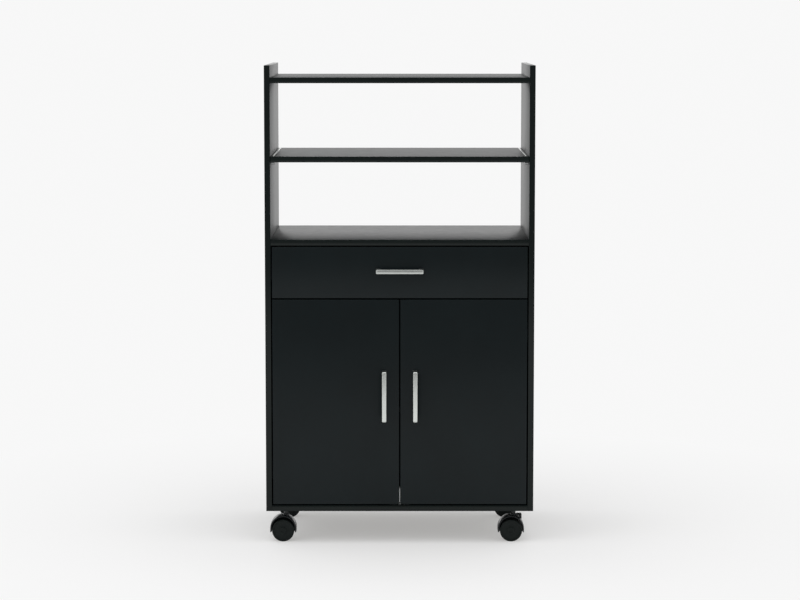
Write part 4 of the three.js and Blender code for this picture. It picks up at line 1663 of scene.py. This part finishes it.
@dataclass
class Hoods(Assembly):
    """Glossy hoods of the casters, each with its web, axle and stem, and two with a brake."""

    brakes: BrakeLevers
    radius: float = 29.4 * MM
    half_width: float = 17 * MM
    wall: float = 2.8 * MM
    rounding: float = 1.8 * MM  # at 2.4 mm the hollows no longer cut the arch
    edge: float = 0.3 * MM
    rise: float = 4.5 * MM
    skirt: float = 8.5 * MM
    below_skirt: float = 20 * MM
    web_half: float = 3.2 * MM
    boss_radius: float = 9 * MM
    axle_radius: float = 3 * MM
    axle_length: float = 31 * MM
    collar_radius: float = 7 * MM
    collar_top: float = 61.4 * MM
    collar_round: float = 0.6 * MM
    shank_radius: float = 5 * MM
    shank_root: float = 2 * MM
    shank_top: float = 75 * MM

    def build(self) -> None:
        """Builds the four hoods and the brake levers on two of them."""
        for corner in Corner:
            stem = middle_of(f"{corner}_caster_plate")
            axle = at(middle_of(f"{corner}_near_wheel"), y=stem.y)
            self._hood(corner, stem, axle)
            if corner in self.brakes.casters:
                self.brakes.lever(corner, stem, axle + height(self.rise), self.radius)

    def _hood(self, corner: Corner, stem: Vector, axle: Vector) -> None:
        """Builds a hood with its arch, web, boss, axle, collar and shank.

        Args:
            corner: The corner that its caster is under.
            stem: A place on the caster's stem.
            axle: The axle's middle.
        """
        node = f"{corner}_caster_hood"
        braked = corner in self.brakes.casters
        centre = axle + height(self.rise)
        arch = self._arch(f"{node}_moulded", centre)
        if braked:
            Bench.carve(arch, *self.brakes.room(stem))
        Bench.soften(arch, self.edge, sharpest=45)
        boss = Bench.rod("boss", axle, self.boss_radius, 2 * self.web_half, Along.Y, sides=40)
        shaft = Bench.rod("shaft", axle, self.axle_radius, self.axle_length, Along.Y, sides=24)
        top, under = self.collar_top, centre.z + self.radius - self.wall
        collar = upright("collar", stem, self.collar_radius, under, top)
        Bench.chamfer(
            collar,
            self.collar_round,
            lambda middle, way: abs(way.z) < ACROSS and middle.z > top - HAIR,
            steps=2,
        )
        shank = upright("shank", stem, self.shank_radius, top - self.shank_root, self.shank_top)
        parts = [arch, boss, shaft, collar, shank, *(self.brakes.ears(stem) if braked else ())]
        self.dress(Bench.gather(f"{node}_moulded", *parts), GLOSSY_RESIN, f"{corner}_caster", node)

    def _arch(self, name: str, centre: Vector) -> Piece:
        """Models a hood's arch, hollow on both sides of its web.

        Args:
            name: The arch's name.
            centre: The middle of its round part.

        Returns:
            The arch, not softened yet.
        """
        half, foot = self.half_width, centre.z - self.skirt
        arch = Bench.rod(name, centre, self.radius, 2 * half, Along.Y, sides=ROUND)
        with Bench.editing(arch, Element.FACE):
            bpy.ops.mesh.bisect(plane_co=centre, plane_no=DOWN, use_fill=True, clear_outer=True)
        Bench.pull(arch, lambda middle, normal: normal.z < -FACING, (0, 0, foot - centre.z))

        def is_rim(middle: Vector, way: Vector) -> bool:
            """Tells whether an edge is on the rim of a side face, above the arch's foot."""
            on_side = abs(abs(middle.y - centre.y) - half) < HAIR
            return abs(way.y) < ACROSS and on_side and middle.z > foot + HAIR

        Bench.chamfer(arch, self.rounding, is_rim)
        inner = self.radius - self.wall
        for side in (-1, 1):
            middle = centre + Vector((0, side * (self.web_half + half), 0))
            hollow = Bench.rod("hollow", middle, inner, 2 * half, Along.Y, sides=ROUND)
            reach = Vector((inner, half, 0))
            below = Bench.block("below", middle - reach - height(self.below_skirt), middle + reach)
            Bench.carve(arch, Bench.fuse(hollow, below))
        return arch


# ---------------------------------------------------------------------------
# Studio and camera
# ---------------------------------------------------------------------------


class Lamp(NamedTuple):
    """A square soft lamp, with its size in metres and its power in watts."""

    name: str
    place: Triple
    target: Triple
    size: float
    power: float


@dataclass
class Studio:
    """Pale floor, plain soft light and the camera of the photograph."""

    paper: float = 0.935
    lift: Triple = (0.365, 0.36, 0.351)
    floor_light: float = 0.86
    floor_grey: Triple = (0.595, 0.6, 0.61)
    floor_roughness: float = 0.8
    floor_radius: float = 14.0
    fade_starts: float = 0.52
    fade_ends: float = 1.4
    dim: float = 0.26
    dim_starts: float = -3.0
    dim_ends: float = -5.5
    soft: float = 0.8
    wall_dim: float = 0.1
    wall_pale: float = 0.62
    camera_place: Triple = (0.0006, -5.786, 1.1692)
    camera_drop: float = 6.294
    focal_length: float = 113.81
    sensor: float = 36.0
    farthest: float = 60.0
    lamps: tuple[Lamp, ...] = (
        Lamp("overhead_softbox", (0.0, -0.6, 3.2), (0.0, 0.0, 0.5), size=3.0, power=20.0),
        Lamp("left_softbox", (-2.6, -2.2, 2.2), (0.0, 0.0, 0.4), size=1.6, power=10.0),
    )

    def build(self) -> None:
        """Lays the floor, lights it and sets the camera."""
        self._floor()
        self._world()
        for lamp in self.lamps:
            self._hang(lamp)
        self._camera()

    def _floor(self) -> None:
        """Adds a round floor that fades into the backdrop's white."""
        bpy.ops.object.select_all(action="DESELECT")
        bpy.ops.mesh.primitive_circle_add(vertices=96, radius=self.floor_radius, fill_type="NGON")
        floor = Bench.settle("floor")
        material = bpy.data.materials.new("studio_floor")
        graph = Graph(material)
        near, far = self._near_floor(graph), self._far_floor(graph)
        distance = graph.add("ShaderNodeVectorMath", {"operation": "LENGTH"}, {0: graph.place()}, "Value")
        away = graph.fade(distance, self.fade_starts, self.fade_ends, span=2.0)
        mixed = graph.mixed(away, near, far)
        graph.add("ShaderNodeOutputMaterial", sockets={"Surface": mixed})
        floor.data.materials.append(material)

    def _near_floor(self, graph: Graph) -> Wire:
        """Makes the surface under the cart, which the camera sees a little lifted.

        Args:
            graph: Where the nodes go.

        Returns:
            The surface.
        """
        light, grey = self._matt(graph, even(self.floor_light)), self._matt(graph, self.floor_grey)
        lifted = graph.add("ShaderNodeAddShader", sockets={0: grey, 1: self._glow(graph, self.lift)})
        return graph.mixed(graph.seen(), light, lifted)

    def _far_floor(self, graph: Graph) -> Wire:
        """Makes the surface away from the cart, white to the camera and dim far in front.

        Args:
            graph: Where the nodes go.

        Returns:
            The surface.
        """
        tones = (self.floor_light, self.dim, self.paper)
        bright, dark, white = (self._glow(graph, even(tone)) for tone in tones)
        along = graph.add("ShaderNodeSeparateXYZ", sockets={0: graph.place()}, output="Y")
        ahead = graph.fade(along, self.dim_starts, self.dim_ends, span=-10.0)
        return graph.mixed(graph.seen(), graph.mixed(ahead, bright, dark), white)

    def _matt(self, graph: Graph, colour: Triple) -> Wire:
        """Makes a plain matt surface of a colour."""
        sockets = {0: opaque(colour), "Roughness": self.floor_roughness, "Specular IOR Level": 0.0}
        return graph.add("ShaderNodeBsdfPrincipled", sockets=sockets)

    @staticmethod
    def _glow(graph: Graph, colour: Triple) -> Wire:
        """Makes a plain colour that needs no light."""
        return graph.add("ShaderNodeEmission", sockets={"Color": opaque(colour), "Strength": 1.0})

    def _world(self) -> None:
        """Gives white to what sees the backdrop, and an even soft light."""
        world = bpy.data.worlds.new("studio")
        bpy.context.scene.world = world
        graph = Graph(world)
        way = graph.add("ShaderNodeTexCoord", output="Generated")
        depth = graph.add("ShaderNodeSeparateXYZ", sockets={0: way}, output="Y")
        wall = graph.ramp(depth * 0.5 + 0.5, (self.wall_dim, self.dim), (self.wall_pale, self.paper))
        mirrored = graph.add("ShaderNodeLightPath", output="Is Glossy Ray")
        unseen = graph.blend(mirrored, even(self.soft), wall)
        colour = graph.blend(graph.seen(), unseen, even(self.paper))
        background = graph.add("ShaderNodeBackground", sockets={"Color": colour, "Strength": 1.0})
        graph.add("ShaderNodeOutputWorld", sockets={"Surface": background})

    @staticmethod
    def _hang(lamp: Lamp) -> None:
        """Hangs a lamp at its place and turns it to its target.

        Args:
            lamp: The lamp.
        """
        data = bpy.data.lights.new(lamp.name, "AREA")
        data.shape, data.size, data.energy = "SQUARE", lamp.size, lamp.power
        hung = bpy.data.objects.new(lamp.name, data)
        bpy.context.scene.collection.objects.link(hung)
        hung.location = lamp.place
        way = Vector(lamp.target) - Vector(lamp.place)
        hung.rotation_euler = way.to_track_quat("-Z", "Y").to_euler()

    def _camera(self) -> None:
        """Puts the camera where the photograph was taken from."""
        data = bpy.data.cameras.new("camera")
        data.lens, data.sensor_width, data.clip_end = self.focal_length, self.sensor, self.farthest
        camera = bpy.data.objects.new("camera", data)
        bpy.context.scene.collection.objects.link(camera)
        camera.location = self.camera_place
        camera.rotation_euler = (radians(90 - self.camera_drop), 0.0, 0.0)
        bpy.context.scene.camera = camera
        bpy.context.scene.view_settings.view_transform = "Standard"


def main() -> None:
    """Builds the cart's looks piece by piece."""
    logging.basicConfig(level=logging.INFO, format="%(message)s")
    Studio().build()
    fasteners = Fasteners()
    for kind in (Case, ShelfPins, Doors, DoubleCatch, Drawer, BowHandles, CasterPlates, TwinWheels):
        kind(fasteners).build()
    Hoods(fasteners, BrakeLevers(fasteners)).build()
    fasteners.clear()
    bpy.ops.object.select_all(action="DESELECT")


if __name__ == "__main__":
    main()
